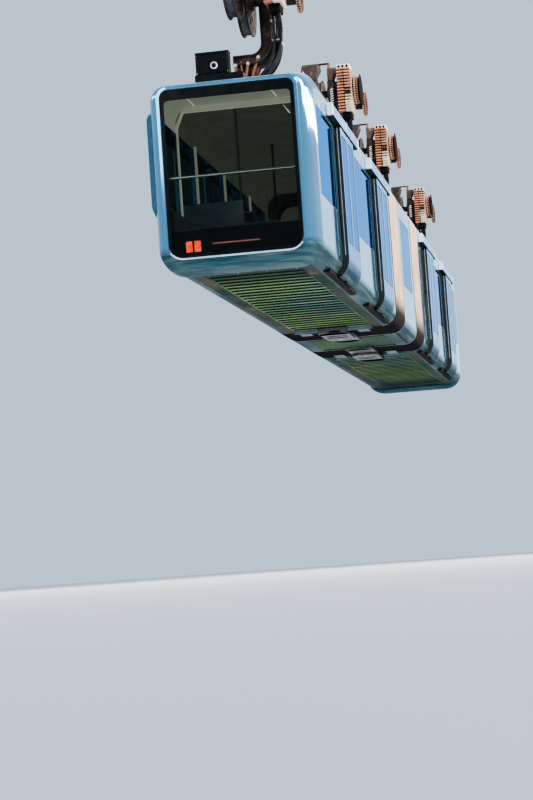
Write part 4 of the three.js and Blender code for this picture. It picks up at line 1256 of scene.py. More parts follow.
seat_pad = cushion("seat_pad", (0.0, 0.15, 0.452), (0.42, 1.030, 0.545), 0.014, (0.5,), along=1)
back_pad = cushion("back_pad", (0.0, 0.15, 0.55), (0.082, 1.030, 1.098), 0.012, (0.33, 0.66), along=2, face=0)
print("cushions", len(seat_pad.data.vertices), len(back_pad.data.vertices),
      [round(v, 3) for v in seat_pad.dimensions])


# %% Seats along the left wall
def seat_row(number, at, way):
    """Shell and two pads; way is 1 when the sitter looks away from the face."""
    base = block("base", (0.0, 0.151, 0.452), (0.418, 1.030, 0.474), 0.008)
    back = block("back", (-0.058, 0.151, 0.455), (-0.030, 1.030, 1.098), 0.010)
    pressed(back, lambda p: p.x < -0.057, (0.04, 0), (0.006, -0.004))
    edge = rod("piping", (-0.028, 0.17, 1.092), (-0.028, 1.01, 1.092), 0.0055, 10)
    bracket = block("bracket", (0.05, 0.98, 0.40), (0.11, 1.036, 0.456), 0.004)
    handle = rod("handle", (-0.044, 0.21, 1.09), (-0.044, 0.41, 1.09), 0.0075, 10)
    coats(SEAT_SHELL, base, back, bracket)
    shell = weld("shell", base, back, coat(edge, PIPING), bracket, coat(handle, STEEL_TUBE))
    pad, rest = again(seat_pad, f"seat_cushion_{number}"), again(back_pad, f"back_cushion_{number}")
    for v in rest.data.vertices:
        v.co.x = -0.029 + v.co.x * 0.6
    made = []
    for piece in (shell, pad, rest):
        if way < 0:
            other = again(piece, piece.name, mirror="X")
            bpy.data.objects.remove(piece)
            piece = other
        piece.location.x = at
        made.append(applied(piece))
    return made


SEATS = (1.75, 1), (2.70, -1), (3.35, 1), (4.30, -1), (4.95, 1), (5.90, -1), (6.55, 1), (7.50, -1)
shells = []
for number, (at, way) in enumerate(SEATS, 1):
    shell, pad, rest = seat_row(number, at, way)
    shells.append(shell)
    for piece, word in ((pad, "seat"), (rest, "back")):
        for part in both_ends(called(piece, f"{word}_cushion_{number}"), "seat_cover", angle=60):
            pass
beam = coat(bridged("beam", "X", [(u, 0.982, 1.0385, 0.422, 0.478, 0.01, 0.01) for u in (1.70, 8.0)]),
            STEEL_TUBE)
both_ends(weld("seat_shells", *shells, beam), "seat_cover", "seats")
bpy.data.objects.remove(seat_pad)
bpy.data.objects.remove(back_pad)
print("seat rows", len(SEATS))

# %% [markdown]
# ## The lounge bench
# The bench follows both walls and closes across the window. Its carcass is a dark lining
# board with a toe space, and it carries three seat pads and two back pads with orange
# piping, as the curved back with the bright edge in the window shows.

# %% Bench
BOTH = (-1, 1)
carcass = [block("board", (0.58, s * 0.83 - 0.195, 0.42), (1.495, s * 0.83 + 0.195, 0.476), 0.006)
           for s in BOTH]
carcass.append(block("board", (0.205, -0.86, 0.42), (0.582, 0.86, 0.476), 0.006))
carcass += [block("leg", (0.62, s * 0.74 - 0.10, FLOOR_HIGH), (1.38, s * 0.74 + 0.10, 0.42), 0.006)
            for s in BOTH]
carcass.append(block("leg", (0.215, -0.58, FLOOR_HIGH), (0.49, 0.58, 0.42), 0.006))
coats(SEAT_SHELL, *carcass)
for s in BOTH:
    rest = block("rest", (0.64, s * 1.029 - 0.008, 0.45), (1.48, s * 1.029 + 0.008, 0.935), 0.005)
    carcass += [coat(rest, SEAT_SHELL), *coats(
        PIPING, rod("piping", (0.66, s * 1.018, 0.933), (1.46, s * 1.018, 0.933), 0.006, 10),
        rod("piping", (0.645, s * 1.018, 0.50), (0.645, s * 1.018, 0.93), 0.006, 10))]
placed(weld("rear_bench_board", *carcass), "rear_bench_board", "rear", "seat_cover", "rear_bench")
GROOVES = (0.33, 0.66)
side_pad = cushion("bench_cushion", (0.60, 0.635, 0.477), (1.49, 1.018, 0.542), 0.012, GROOVES)
front_pad = cushion("bench_front_cushion", (0.215, -0.60, 0.477), (0.575, 0.60, 0.542), 0.012, GROOVES,
                    along=1)
rest_pad = cushion("bench_back_cushion", (0.655, 0.952, 0.55), (1.465, 1.019, 0.925), 0.012, GROOVES, face=1,
                   side=-1)
for pad in (side_pad, rest_pad):
    padded(again(pad, "right", mirror="Y"), f"rear_{pad.name}_right", "rear")
for pad in (side_pad, front_pad, rest_pad):
    padded(pad, "rear_" + pad.name, "rear")
print("bench done")

# %% [markdown]
# ## The middle section
# A short tube hangs between the two bellows, with a pane on the door side and a raised
# dark band on the other. It is made like the end sections, from bridged frames and cuts,
# and its upper link plates reach out on both sides to meet the pins.

# %% Middle section
CENTRE = 12.03
middle_shell = bridged("middle_shell", "X", level([
    (CENTRE - 1.08, 1.1, 0.0, 2.628, 0.25, 0.27), (CENTRE + 1.08, 1.1, 0.0, 2.628, 0.25, 0.27),
    (CENTRE + 1.08, 1.04, 0.12, 2.48, 0.19, 0.25), (CENTRE - 1.08, 1.04, 0.12, 2.48, 0.19, 0.25),
]), close="ring", steps=8)
coat(middle_shell, PAINT)
cut(middle_shell, *pane_cutters(CENTRE - 0.76, CENTRE + 0.76),
    block("cutter", (CENTRE - 0.76, 1.0, 0.86), (CENTRE + 0.76, 1.2, 2.12)),
    block("cutter", (CENTRE - 1.05, -0.69, -0.05), (CENTRE + 1.05, 0.69, 0.012)))
in_middle = lambda p, n: abs(p.y) < 1.0405 and 0.115 < p.z < 2.481 and abs(p.x - CENTRE) < 1.07
coat(middle_shell, LINING, in_middle)
coat(middle_shell, CARPET, lambda p, n: in_middle(p, n) and n.z > 0.9 and p.z < 0.13)
# the downward faces above the rib strip are painted black as shade
coat(middle_shell, SHADE_BLACK, lambda p, n: n.z < -0.9 and 0.005 < p.z < 0.02)
parts = [middle_shell]
for side in BOTH:
    trim = [(CENTRE + side * (1.0795 - d), -1.1 - o, 1.1 + o, -o, 2.628 + o, 0.25, 0.27) for d, o in
            ((0.0, 0.0), (0.0, 0.003), (0.02, 0.003), (0.02, 0.0))]
    parts.append(coat(bridged("frame", "X", trim, close="ring", steps=8), PALE_TRIM))
parts.append(coat(repeated(pressed_rib(CENTRE - 0.80, CENTRE - 0.66), 9, (0.1825, 0, 0)), UNDERSIDE))
arm = bridged("link", "Z",
              [(z, CENTRE - 2.055, CENTRE - 0.73, -0.25, 0.25, 0.20, 0.20) for z in (-0.050, -0.010)])
soften(cut(arm, *link_slots(10.43, 10.69)), 0.003)
neck = block("neck", (CENTRE - 1.02, -0.25, -0.05), (CENTRE - 0.73, 0.25, 0.013), 0.006)
pin = spun("pin",
           [(0, -0.0995), (0.042, -0.0995), (0.049, -0.095), (0.05, -0.06), (0.05, -0.012), (0, -0.012)],
           (CENTRE - 1.805, 0, 0), "Z", 24)
link = weld("link", *coats(LINK, arm, neck), coat(pin, STEEL_TUBE))
parts += [link, again(link, "link", move=(2 * CENTRE, 0, 0), mirror="X")]
middle_piece = placed(weld("middle_shell", *parts), "middle_shell", "mid", "body_paint", "mid_shell",
                      angle=30)
placed(side_pane("pane", CENTRE - 0.76, CENTRE + 0.76), "middle_pane", "mid", "glass", "mid_glass_right")
placed(glass_band("band", CENTRE - 1.05, CENTRE + 1.05, (CENTRE,)), "middle_band", "mid", "glass",
       "mid_glass_left", angle=28)
print("middle", len(middle_piece.data.polygons), [round(v, 3) for v in middle_piece.dimensions])

# %% [markdown]
# ## The bellows
# The gangways are closed by pleated coated cloth. Seen close, such a bellows is a stack of
# narrow folds held by a frame at each end.


# %% Bellows
def pleated_cloth():
    f = Finish("bellows_cloth")
    cloud, fine = f.noise(1.8, 4.0), f.noise(240.0, 2.0)
    low = f.between(f.axis("Z"), -2.90, -3.32)
    soot = f.between(f.noise(7.0, 5.0, (1, 1, 0.3)), 0.45, 0.7)
    shade = f.mixed(f.between(cloud, 0.35, 0.65), (0.58, 0.42, 0.315), (0.46, 0.32, 0.235))
    shade = f.mixed(soot * 0.35, shade, (0.22, 0.15, 0.12))
    # the lower cloth goes near black, and its underside darker still, as painted shade
    shade = f.mixed(low, shade, (0.020, 0.013, 0.012))
    shade = f.mixed(f.between(f.axis("Z"), -3.44, -3.52), shade, (0.004, 0.004, 0.005))
    return f.out(f.shader(shade, 0.72 + fine * 0.15, Specular_IOR_Level=0.2,
                          Normal=f.bump(fine + cloud, 0.0006)))


BELLOWS_CLOTH = pleated_cloth()
FOLDS, FOLD_DEPTH = 15, 0.030
BELLOWS_START, BELLOWS_END = 9.504, 10.946
sections = []
for k in range(2 * FOLDS + 1):
    depth = (0.0, FOLD_DEPTH)[k % 2] + (0.004 if k in (0, 2 * FOLDS) else 0.0)
    u = BELLOWS_START + (BELLOWS_END - BELLOWS_START) * k / (2 * FOLDS)
    sections.append((u, -1.105 + depth, 1.105 - depth, 0.003 + depth, 2.609 - depth, 0.25, 0.262))
cloth = bridged("bellows_cloth", "X", sections, close="open", steps=8)
refine(cloth, "SOLIDIFY", thickness=0.004, offset=-1)
coat(cloth, BELLOWS_CLOTH)
rims = []
for u in (9.5035, 10.9425):
    rim = level([(u, 1.107, 0.001, 2.611, 0.252, 0.264), (u + 0.004, 1.107, 0.001, 2.611, 0.252, 0.264),
                 (u + 0.004, 1.06, 0.048, 2.564, 0.22, 0.24), (u, 1.06, 0.048, 2.564, 0.22, 0.24)])
    rims.append(coat(bridged("rim", "X", rim, close="ring", steps=8), BROWN_RUBBER))
rear_bellows = called(settle(weld("bellows", cloth, *rims)), "rear_bellows")
front_bellows = again(rear_bellows, "front_bellows", mirror="X")
for piece, end, sign in ((rear_bellows, "rear", -1), (front_bellows, "front", 1)):
    alone(piece)
    bpy.ops.object.shade_smooth_by_angle(angle=math.radians(20))
    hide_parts(f"bellows_{end}")
    sign * 2.53
    sign * 1.08
    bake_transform(piece)
print("bellows", len(rear_bellows.data.polygons), "faces each")

# %% [markdown]
# ## Iron that lives outside
# The running gear is never washed. Castings are rust orange with pale dusty edges, the
# hangers are dark brown steel, guards and plates were once cream. Rust comes in blotches
# of several sizes, so these finishes mix two noises and roughen where the rust is.


# %% Running gear finishes
def weathered(name, colour, second, edge, rough=0.72, low=None):
    f = Finish(name)
    patch = f.between(f.noise(4.0, 6.0, rough=0.65), 0.38, 0.64)
    grit = f.noise(55.0, 4.0)
    pale = f.between(f.noise(11.0, 5.0, (1, 1, 0.5), 0.7), 0.55, 0.68)
    shade = f.mixed(pale * 0.7, f.mixed(patch, colour, second), edge)
    shade = f.mixed(f.between(grit, 0.6, 0.75) * 0.5, shade, [c * 0.4 for c in second])
    if low:
        shade = f.mixed(f.between(f.axis("Z"), 0.40, 0.22) * 0.8, shade, low)
    return f.out(f.shader(shade, rough + grit * 0.2 - pale * 0.1, Specular_IOR_Level=0.2,
                          Specular_Tint=(0.6, 0.5, 0.42, 1), Normal=f.bump(grit + patch, 0.0012)))


RUST = weathered("rust_casting", (0.50, 0.20, 0.115), (0.30, 0.115, 0.065), (0.66, 0.40, 0.28))
PALE_RUST = weathered("pale_casting", (0.54, 0.27, 0.165), (0.34, 0.15, 0.085), (0.74, 0.55, 0.43),
                      low=(0.78, 0.64, 0.52))
CORE = weathered("dark_core", (0.055, 0.026, 0.018), (0.03, 0.016, 0.012), (0.10, 0.05, 0.03))
BROWN_STEEL = weathered("brown_steel", (0.060, 0.038, 0.032), (0.028, 0.020, 0.018), (0.15, 0.10, 0.08), 0.6)
DUSTY_STEEL = weathered("dusty_steel", (0.150, 0.105, 0.085), (0.085, 0.058, 0.048), (0.30, 0.22, 0.18), 0.6)
STRUT = weathered("strut_steel", (0.32, 0.14, 0.085), (0.18, 0.08, 0.05), (0.56, 0.38, 0.28), 0.6)
CREAM = weathered("cream_guard", (0.74, 0.66, 0.57), (0.55, 0.44, 0.36), (0.85, 0.80, 0.73), 0.5)
TOOTH = weathered("cream_tooth", (0.62, 0.46, 0.35), (0.34, 0.20, 0.13), (0.80, 0.71, 0.62), 0.6)
WHEEL_IRON = weathered("wheel_iron", (0.060, 0.040, 0.031), (0.030, 0.022, 0.019), (0.12, 0.085, 0.068), 0.65)
GUARD_BLACK = plain("guard_black", (0.006, 0.006, 0.007), (0.014, 0.011, 0.010), 0.85, 14.0, mirror=0.03)
CABLE = plain("cable_rubber", (0.014, 0.013, 0.016), (0.032, 0.027, 0.030), 0.5, 12.0, mirror=0.2)
FITTING = plain("pale_fitting", (0.72, 0.71, 0.69), (0.50, 0.48, 0.46), 0.4, 20.0)
TREAD = plain("bright_tread", (0.17, 0.16, 0.15), (0.11, 0.10, 0.095), 0.4, 14.0, Metallic=0.8,
              tint=(0.15, 0.14, 0.13))

# %% [markdown]
# ## The hanger
# One steel hanger carries each bogie's share of the car: a side plate between the axles, a
# C-shaped arm, and a post down to the bearing pad. The plate and the arm are drawn as
# outlines and extruded, their webs are inset, and bolts, struts and gussets are added where
# such frames have them. A curved guard with a round cheek covers the rear wheel. A bogie is
# made once, round z = 0, with its axles 0.55 m before and behind its middle.

# %% Hanger plate and arm
AXLE, AXLE_HEIGHT = 0.55, 0.45
PLATE_OUT, PLATE_IN = -0.418, -0.302
POST_LOW = -0.862
plate = drawn("plate", "Y",
              [(-0.8, 0.3), (-0.7, 0.23), (0.7, 0.23), (0.8, 0.3), (0.8, 0.6), (0.7, 0.67), (-0.7, 0.67),
               (-0.8, 0.6)], PLATE_OUT, PLATE_IN, 0)
pressed(plate, lambda p: p.y < -0.417 or p.y > -0.303, (0.035, 0), (0.012, -0.016))
soften(plate, 0.004, 2, 30)
cut(plate, *[rod("cutter", (x, -0.6, AXLE_HEIGHT), (x, -0.1, AXLE_HEIGHT), r, 32)
             for x, r in ((-AXLE, 0.0606), (AXLE, 0.0606), (-0.27, 0.07), (0.27, 0.07))])
arm = drawn("arm", "X",
            [(-0.42, 0.655), (-0.302, 0.655), (-0.302, -0.322), *bend(-0.152, -0.322, 0.15, 180, 270),
             (0.11, -0.472), (0.11, -0.60), *bend(-0.177, -0.322, 0.278, 270, 180), (-0.455, 0.20),
             (-0.42, 0.26)], -0.228, 0.228, 0)
pressed(arm, lambda p: abs(p.x) > 0.227, (0.018, 0), (0.004, -0.055))
soften(arm, 0.004, 2, 50)
post = spun("post",
            [(0, -0.50), (0.10, -0.50), (0.12, -0.585), (0.105, -0.60), (0.105, -0.70), (0.118, -0.705),
             (0.118, -0.73), (0.105, -0.735), (0.105, -0.84), (0.125, -0.855), (0.17, POST_LOW),
             (0.175, -0.868), (0.175, -0.8885), (0, -0.8885)], (0, 0, 0), "Z", 32)
bolt = rod("bolt", (0.15, 0, -0.864), (0.15, 0, -0.848), 0.012, 6, 0.002)
frame_parts = coats(BROWN_STEEL, plate, arm, post, *ring_of(bolt, (0, 0, 0), "Z", 8))
for x in (-AXLE, AXLE):
    hub = (x, 0, AXLE_HEIGHT)
    boss = spun("boss",
                [(0.0606, -0.4315), (0.085, -0.4315), (0.092, -0.428), (0.122, -0.424), (0.130, -0.418),
                 (0.130, -0.285), (0.122, -0.277), (0.0606, -0.277), (0.0606, -0.4315)], hub, "Y", 32)
    bolt = rod("bolt", (x + 0.107, -0.431, AXLE_HEIGHT), (x + 0.107, -0.420, AXLE_HEIGHT), 0.009, 6, 0.001)
    frame_parts += [coat(boss, BROWN_STEEL), *coats(STEEL_TUBE, *ring_of(bolt, hub, "Y", 6))]
for k in range(1, 12):
    x = -0.72 + 0.12 * k
    frame_parts += coats(BROWN_STEEL, *[rod("rivet", (x, -0.424, z), (x, -0.416, z), 0.010, 8, 0.002)
                                        for z in (0.252, 0.648)])

# %% Gussets, struts, guard and cover
gusset = drawn("gusset", "Y", [(-0.225, -0.56), (-0.13, POST_LOW), (0.13, POST_LOW), (0.225, -0.56)], -0.010,
               0.010, 0.003)
web = drawn("web", "X",
            [(0.105, -0.575), (0.12, POST_LOW), (-0.12, POST_LOW), (-0.33, -0.40), (-0.20, -0.575)],
            -0.010, 0.010, 0.003)
frame_parts += coats(STRUT, gusset, web)
for top, foot in (((0.20, -0.25, -0.50), (0.115, -0.10)), ((0.20, 0.08, -0.585), (0.12, 0.10)),
                  ((0.20, -0.10, -0.575), (0.15, -0.03))):
    for s in BOTH:
        start = Vector((s * top[0], *top[1:]))
        strut = rod("strut", start, (s * foot[0], foot[1], POST_LOW), 0.022, 12, 0.003, top=0.017)
        frame_parts.append(coat(strut, STRUT))
        clevis = rod("clevis", start + Vector((-0.03, 0, -0.02)), start + Vector((0.03, 0, -0.02)), 0.022, 12,
                     0.003)
        frame_parts.append(coat(clevis, FITTING))
bracket = drawn("bracket", "X",
                [(-0.302, 0.60), (-0.302, 0.868), (-0.475, 0.868), (-0.475, 0.83), (-0.36, 0.60)],
                -0.72, -0.50, 0.006)
guard_line = bend(-AXLE, AXLE_HEIGHT, 0.535, 62, 165, 16)
hood = drawn("hood", "Y", guard_line + bend(-AXLE, AXLE_HEIGHT, 0.528, 165, 62, 16), -0.155, 0.115, 0)
cheek = drawn("cheek", "Y", guard_line, -0.161, -0.1545, 0.0015, 1)
upright = block("upright", (-0.61, -0.345, 0.60), (-0.51, -0.300, 0.984), 0.006)
yoke = block("yoke", (-0.61, -0.345, 0.970), (-0.51, -0.10, 0.986), 0.004)
cover = block("cover", (0.02, -0.500, 0.30), (0.30, PLATE_OUT, 0.58), 0.012, 3)
pressed(cover, lambda p: p.y < -0.499, (0.022, 0), (0.004, 0.006))
side_rod = rod("link", (-0.78, -0.455, 0.25), (0.36, -0.455, 0.25), 0.016, 14, 0.003)
eyes = [rod("eye", (x, -0.475, 0.25), (x, PLATE_OUT, 0.25), 0.034, 20, 0.004) for x in (-0.78, 0.36)]
frame_parts += [*coats(BROWN_STEEL, hood, cheek, yoke), coat(upright, STRUT), coat(bracket, DUSTY_STEEL),
                coat(cover, BROWN_STEEL), *coats(WHEEL_IRON, side_rod, *eyes)]

# %% [markdown]
# ## Spring and cables
# A pale coil spring stands at the rear end of the plate, and thick bundles of cables come
# down the arm to the roof. The spring is one small circle swept by a Screw modifier. Each cable
# is a smooth curve with a round bevel that is turned into a mesh; they are fixed at both
# ends, so they are ordinary pieces of the bogie.


# %% Spring and cables
def coil(name, centre, low, high, radius, wire_radius, turns):
    piece = empty_piece(name)
    with editing(piece):
        bpy.ops.mesh.primitive_circle_add(vertices=8, radius=wire_radius, location=(radius, 0, 0),
                                          rotation=(math.pi / 2, 0, 0))
    refine(piece, "SCREW", axis="Z", angle=math.tau * turns, screw_offset=high - low, steps=20 * turns,
           render_steps=20 * turns)
    piece.location = (*centre, low)
    applied(piece)
    with editing(piece):
        bpy.ops.mesh.select_all(action="SELECT")
        bpy.ops.mesh.remove_doubles(threshold=0.0002)
        bpy.ops.mesh.select_mode(type="EDGE")
        bpy.ops.mesh.select_all(action="DESELECT")
        bpy.ops.mesh.select_non_manifold()
        bpy.ops.mesh.edge_face_add()
        close_up()
    return piece


def tube(points, radius):
    """A cable through these points."""
    curve = bpy.data.curves.new("cable", "CURVE")
    curve.dimensions, curve.bevel_depth, curve.use_fill_caps = "3D", radius, True
    curve.bevel_resolution, curve.resolution_u = 2, 5
    line = curve.splines.new("BEZIER")
    line.bezier_points.add(len(points) - 1)
    for point, place in zip(line.bezier_points, points):
        point.co, point.handle_left_type, point.handle_right_type = place, "AUTO", "AUTO"
    piece = bpy.data.objects.new("cable", curve)
    bpy.context.scene.collection.objects.link(piece)
    alone(piece)
    bpy.ops.object.convert(target="MESH")
    return coat(bpy.context.object, CABLE)


SPRING_X, SPRING_Y = -0.845, -0.376
frame_parts.append(coat(coil("spring", (SPRING_X, SPRING_Y), 0.20, 0.48, 0.021, 0.0095, 7), FITTING))
spring_post = rod("spring_post", (SPRING_X, SPRING_Y, 0.13), (SPRING_X, SPRING_Y, 0.57), 0.010, 16, 0.003)
frame_parts.append(coat(spring_post, CORE))
for z in (0.185, 0.495):
    low, high = z - 0.012, z + 0.012
    seat = rod("spring_seat", (SPRING_X, SPRING_Y, low), (SPRING_X, SPRING_Y, high), 0.038, 20, 0.004)
    reach = block("spring_arm", (SPRING_X, SPRING_Y - 0.020, low), (-0.74, SPRING_Y + 0.020, high), 0.004)
    frame_parts += coats(BROWN_STEEL, seat, reach)
for k in range(10):
    x, sway, out = -0.20 + 0.044 * k, 0.014 * ((k * 3) % 4 - 1.5), 0.022 * (k % 3)
    gland = Vector((x * 0.9, -0.485, 0.30 - 0.02 * k))
    points = [gland, (x, -0.500 - out, 0.05), (x + sway, -0.505 - out, -0.20),
              (x + sway, -0.485 - out, -0.42), (x * 0.9, -0.405 - out, -0.61), (x * 0.75, -0.27 - out, -0.76),
              (x * 0.6, -0.165 - 0.004 * k, -0.872)]
    frame_parts.append(tube(points, (0.021, 0.012, 0.016)[k % 3]))
    frame_parts.append(coat(rod("gland", gland + Vector((0, 0.004, -0.02)), gland + Vector((0, 0.004, 0.03)),
                                0.023, 12, 0.003), FITTING))
for k in range(5):
    points = [(-0.72 + 0.05 * k, -0.655 + 0.025 * k, 0.055),
              (-0.66 + 0.06 * k, -0.660 + 0.02 * k, -0.08 - 0.03 * (k % 2)),
              (-0.42 + 0.05 * k, -0.630 + 0.015 * k, -0.24), (-0.20 + 0.03 * k, -0.545, -0.44),
              (-0.12 + 0.03 * k, -0.42, -0.63), (-0.07 + 0.02 * k, -0.28, -0.78),
              (-0.04 + 0.02 * k, -0.185, -0.872)]
    frame_parts.append(tube(points, (0.019, 0.013)[k % 2]))
frame_parts += coats(FITTING,
                     *[block("cable_clip", (-0.21, -0.572, z - 0.011), (0.21, -0.450, z + 0.011), 0.005)
                       for z in (-0.02, -0.30)])
hanger = weld("hanger", *frame_parts)
print("hanger", len(hanger.data.polygons), "faces", [round(v, 3) for v in hanger.dimensions])

# %% [markdown]
# ## The drive
# Outboard of the hanger hangs a finned motor case with a plate on top, a gear case towards
# the wheel, and a toothed drum with a thin guard on its shaft. Fins are one slab of two
# halves, fifteen times; a drum is spun and two rows of teeth are set round its rim.

# %% Motor case
FINS, FIN_PITCH = 15, 0.0517
fin_left = coat(block("fin", (-0.900, -0.594, 0.060), (-0.380, -0.480, 0.088), 0.005), RUST)
fin_right = coat(block("fin", (-0.900, -0.720, 0.060), (-0.380, -0.606, 0.088), 0.005), PALE_RUST)
fins = weld("fins", fin_left, coat(fin_right, TOOTH, lambda p, n: n.y < -0.8))
repeated(fins, FINS, (0, 0, FIN_PITCH))
core = coat(block("core", (-0.870, -0.690, 0.062), (-0.404, -0.494, 0.798), 0.006), CORE)
cap = block("cap", (-0.893, -0.712, 0.796), (-0.528, -0.488, 0.874), 0.008, 3)
pressed(cap, lambda p: p.z > 0.873, (0.02, 0), (0.004, -0.006))


def cap_holes(name, start, end, radius):
    return [rod(name, (start, y, 0.834), (end, y, 0.834), radius, 20) for y in (-0.668, -0.600, -0.532)]


cut(cap, *cap_holes("cutter", -0.92, -0.86, 0.025))
# the holes in the cap are filled with plugs painted black as shade
drive_parts = [fins, core, coat(cap, CREAM), *coats(SHADE_BLACK, *cap_holes("hole", -0.884, -0.861, 0.0245))]
for y in (-0.700, -0.664, -0.628):
    for z in (0.070, 0.120, 0.170):
        drive_parts.append(coat(block("terminal", (-0.908, y - 0.015, z), (-0.86, y + 0.015, z + 0.036),
                                      0.005), CREAM))
        drive_parts.append(coat(rod("stud", (-0.914, y, z + 0.02), (-0.905, y, z + 0.02), 0.007, 8, 0.001),
                                STEEL_TUBE))
# the vents are blocks painted black as shade
for z in (0.366, 0.430):
    drive_parts.append(coat(block("vent", (-0.9025, -0.712, z), (-0.88, -0.612, z + 0.032), 0.004), SHADE_BLACK))
drive_parts.append(coat(block("tray", (-0.80, -0.690, -0.045), (-0.50, -0.530, 0.062), 0.010), GUARD_BLACK))
gear = drawn("gear", "Y",
             [(-0.77, 0.30), (-0.70, 0.28), (-0.48, 0.28), (-0.44, 0.32), (-0.44, 0.58), (-0.48, 0.62),
              (-0.70, 0.62), (-0.77, 0.60)], -0.491, -0.4325, 0.006)
lifting_eye = rod("lifting_eye", (-0.71, -0.60, 0.865), (-0.71, -0.60, 0.890), 0.014, 12, 0.002)
drive_parts += coats(BROWN_STEEL, gear, lifting_eye)


# %% Toothed drums
def toothed_drum(radius, low, high, centre, count):
    """A dark drum from low to high along Y with two rows of teeth round its rim."""
    drum = spun("drum",
                [(0.0, low - 0.012), (radius * 0.34, low - 0.012), (radius * 0.40, low), (radius * 0.93, low),
                 (radius * 0.93, high), (radius * 0.40, high), (0.0, high + 0.006)], centre, "Y", 48)
    parts = [coat(drum, CORE)]
    x, y, z = centre
    half, width = radius * math.pi / count * 0.55, (high - low) * 0.42
    for start, row_finish in ((high - width, TOOTH), (low, RUST)):
        tooth = block("tooth", (x + radius * 0.80, y + start, z - half),
                      (x + radius, y + start + width, z + half), 0.0015, 1)
        parts += coats(row_finish, *ring_of(tooth, centre, "Y", count))
    return parts


shaft_centre = (-0.47, 0.0, 0.48)
drive_parts += toothed_drum(0.232, -0.812, -0.738, shaft_centre, 36)
shaft = spun("shaft",
             [(0, -0.690), (0.085, -0.690), (0.085, -0.722), (0.058, -0.728), (0.058, -0.836), (0, -0.836)],
             shaft_centre, "Y", 28)
guard = spun("guard", [(0, -0.8375), (0.262, -0.8375), (0.275, -0.840), (0.275, -0.8455), (0.262, -0.8495),
                       (0.10, -0.8455), (0.09, -0.8495), (0, -0.8495)], shaft_centre, "Y", 48)
drive = weld("drive", *drive_parts, coat(shaft, WHEEL_IRON), coat(guard, GUARD_BLACK))
print("drive", len(drive.data.polygons), "faces", [round(v, 3) for v in drive.dimensions])

# %% [markdown]
# ## The wheels
# A wheel of this kind has a flange on both sides of its tread and runs on a short stub from
# the hanger. We spin the outline, polish the tread, and turn bolts and lightening holes
# round it. The front wheel also drives a toothed brake disc outboard of the hanger.

# %% Wheels
FLANGE = [(0.385, 0.070), (0.462, 0.076), (0.480, 0.075), (0.485, 0.066), (0.482, 0.056), (0.458, 0.050),
          (0.450, 0.043)]
RIM = ([(0.060, 0.070), (0.105, 0.070), (0.118, 0.056), (0.165, 0.050), (0.36, 0.050)] + FLANGE
       + [(r, -y) for r, y in reversed(FLANGE)]
       + [(0.36, -0.052), (0.165, -0.056), (0.118, -0.090), (0.105, -0.118), (0.060, -0.120)])
AXLE_HEAD = [(0, 0.0755), (0.052, 0.0755), (0.0595, 0.068)]
PLAIN_STUB = [(0.0595, -0.4285), (0, -0.4285)]
BRAKE_STUB = [(0.0595, -0.434), (0.088, -0.436), (0.09, -0.445), (0.09, -0.742), (0, -0.742)]


def wheel(name, x, brake):
    """A wheel with its axle at x."""
    centre = (x, 0.0, AXLE_HEIGHT)
    rim = spun("rim", RIM, centre, "Y", 72)
    coat(rim, WHEEL_IRON)
    coat(rim, TREAD, lambda p, n: abs(p.y) < 0.049 and math.hypot(p.x - x, p.z - AXLE_HEIGHT) > 0.44)
    hole = rod("cutter", (x + 0.26, -0.2, AXLE_HEIGHT), (x + 0.26, 0.2, AXLE_HEIGHT), 0.042, 20)
    cut(rim, *ring_of(hole, centre, "Y", 8))
    axle = spun("axle", AXLE_HEAD + (BRAKE_STUB if brake else PLAIN_STUB), centre, "Y", 32)
    bolt = rod("bolt", (x + 0.135, 0.050, AXLE_HEIGHT), (x + 0.135, 0.066, AXLE_HEIGHT), 0.012, 6, 0.002)
    parts = [rim, coat(axle, WHEEL_IRON), *coats(STEEL_TUBE, *ring_of(bolt, centre, "Y", 10))]
    if brake:
        parts += toothed_drum(0.215, -0.812, -0.752, centre, 34)
        hub = spun("hub", [(0, -0.740), (0.088, -0.740), (0.088, -0.760), (0, -0.760)], centre, "Y", 28)
        parts.append(coat(hub, WHEEL_IRON))
    return weld(name, *parts)


wheels = {"rear": wheel("rear_wheel", -AXLE, False), "front": wheel("front_wheel", AXLE, True)}
for piece in wheels.values():
    print(piece.name, len(piece.data.polygons), "faces", [round(v, 3) for v in piece.dimensions])

# %% Four bogies
BOGIES = (-10.42, -2.77, 2.77, 10.42)
for number, x in enumerate(BOGIES, 1):
    body = f"bogie_{number}"
    finish(again(hanger, f"{body}_hanger", move=(x, 0, 0)), body, "bogie_steel", f"{body}_frame")
    finish(again(drive, f"{body}_motor", move=(x, 0, 0)), body, "drive_iron", f"{body}_drive")
    for side, piece in wheels.items():
        node = f"wheel_{number}_{side}"
        finish(again(piece, f"{node}_iron", move=(x, 0, 0)), node, "wheel_steel", node)
for piece in (hanger, drive, *wheels.values()):
    bpy.data.objects.remove(piece)
print("bogies placed at", BOGIES)

# %% [markdown]
# ## The box on the roof
# At the rear a black camera box looks back over the roof edge through a lens in a pale
# ring. The housing is a block with softened edges, a lid seam and a recessed front; the
# lens is spun.

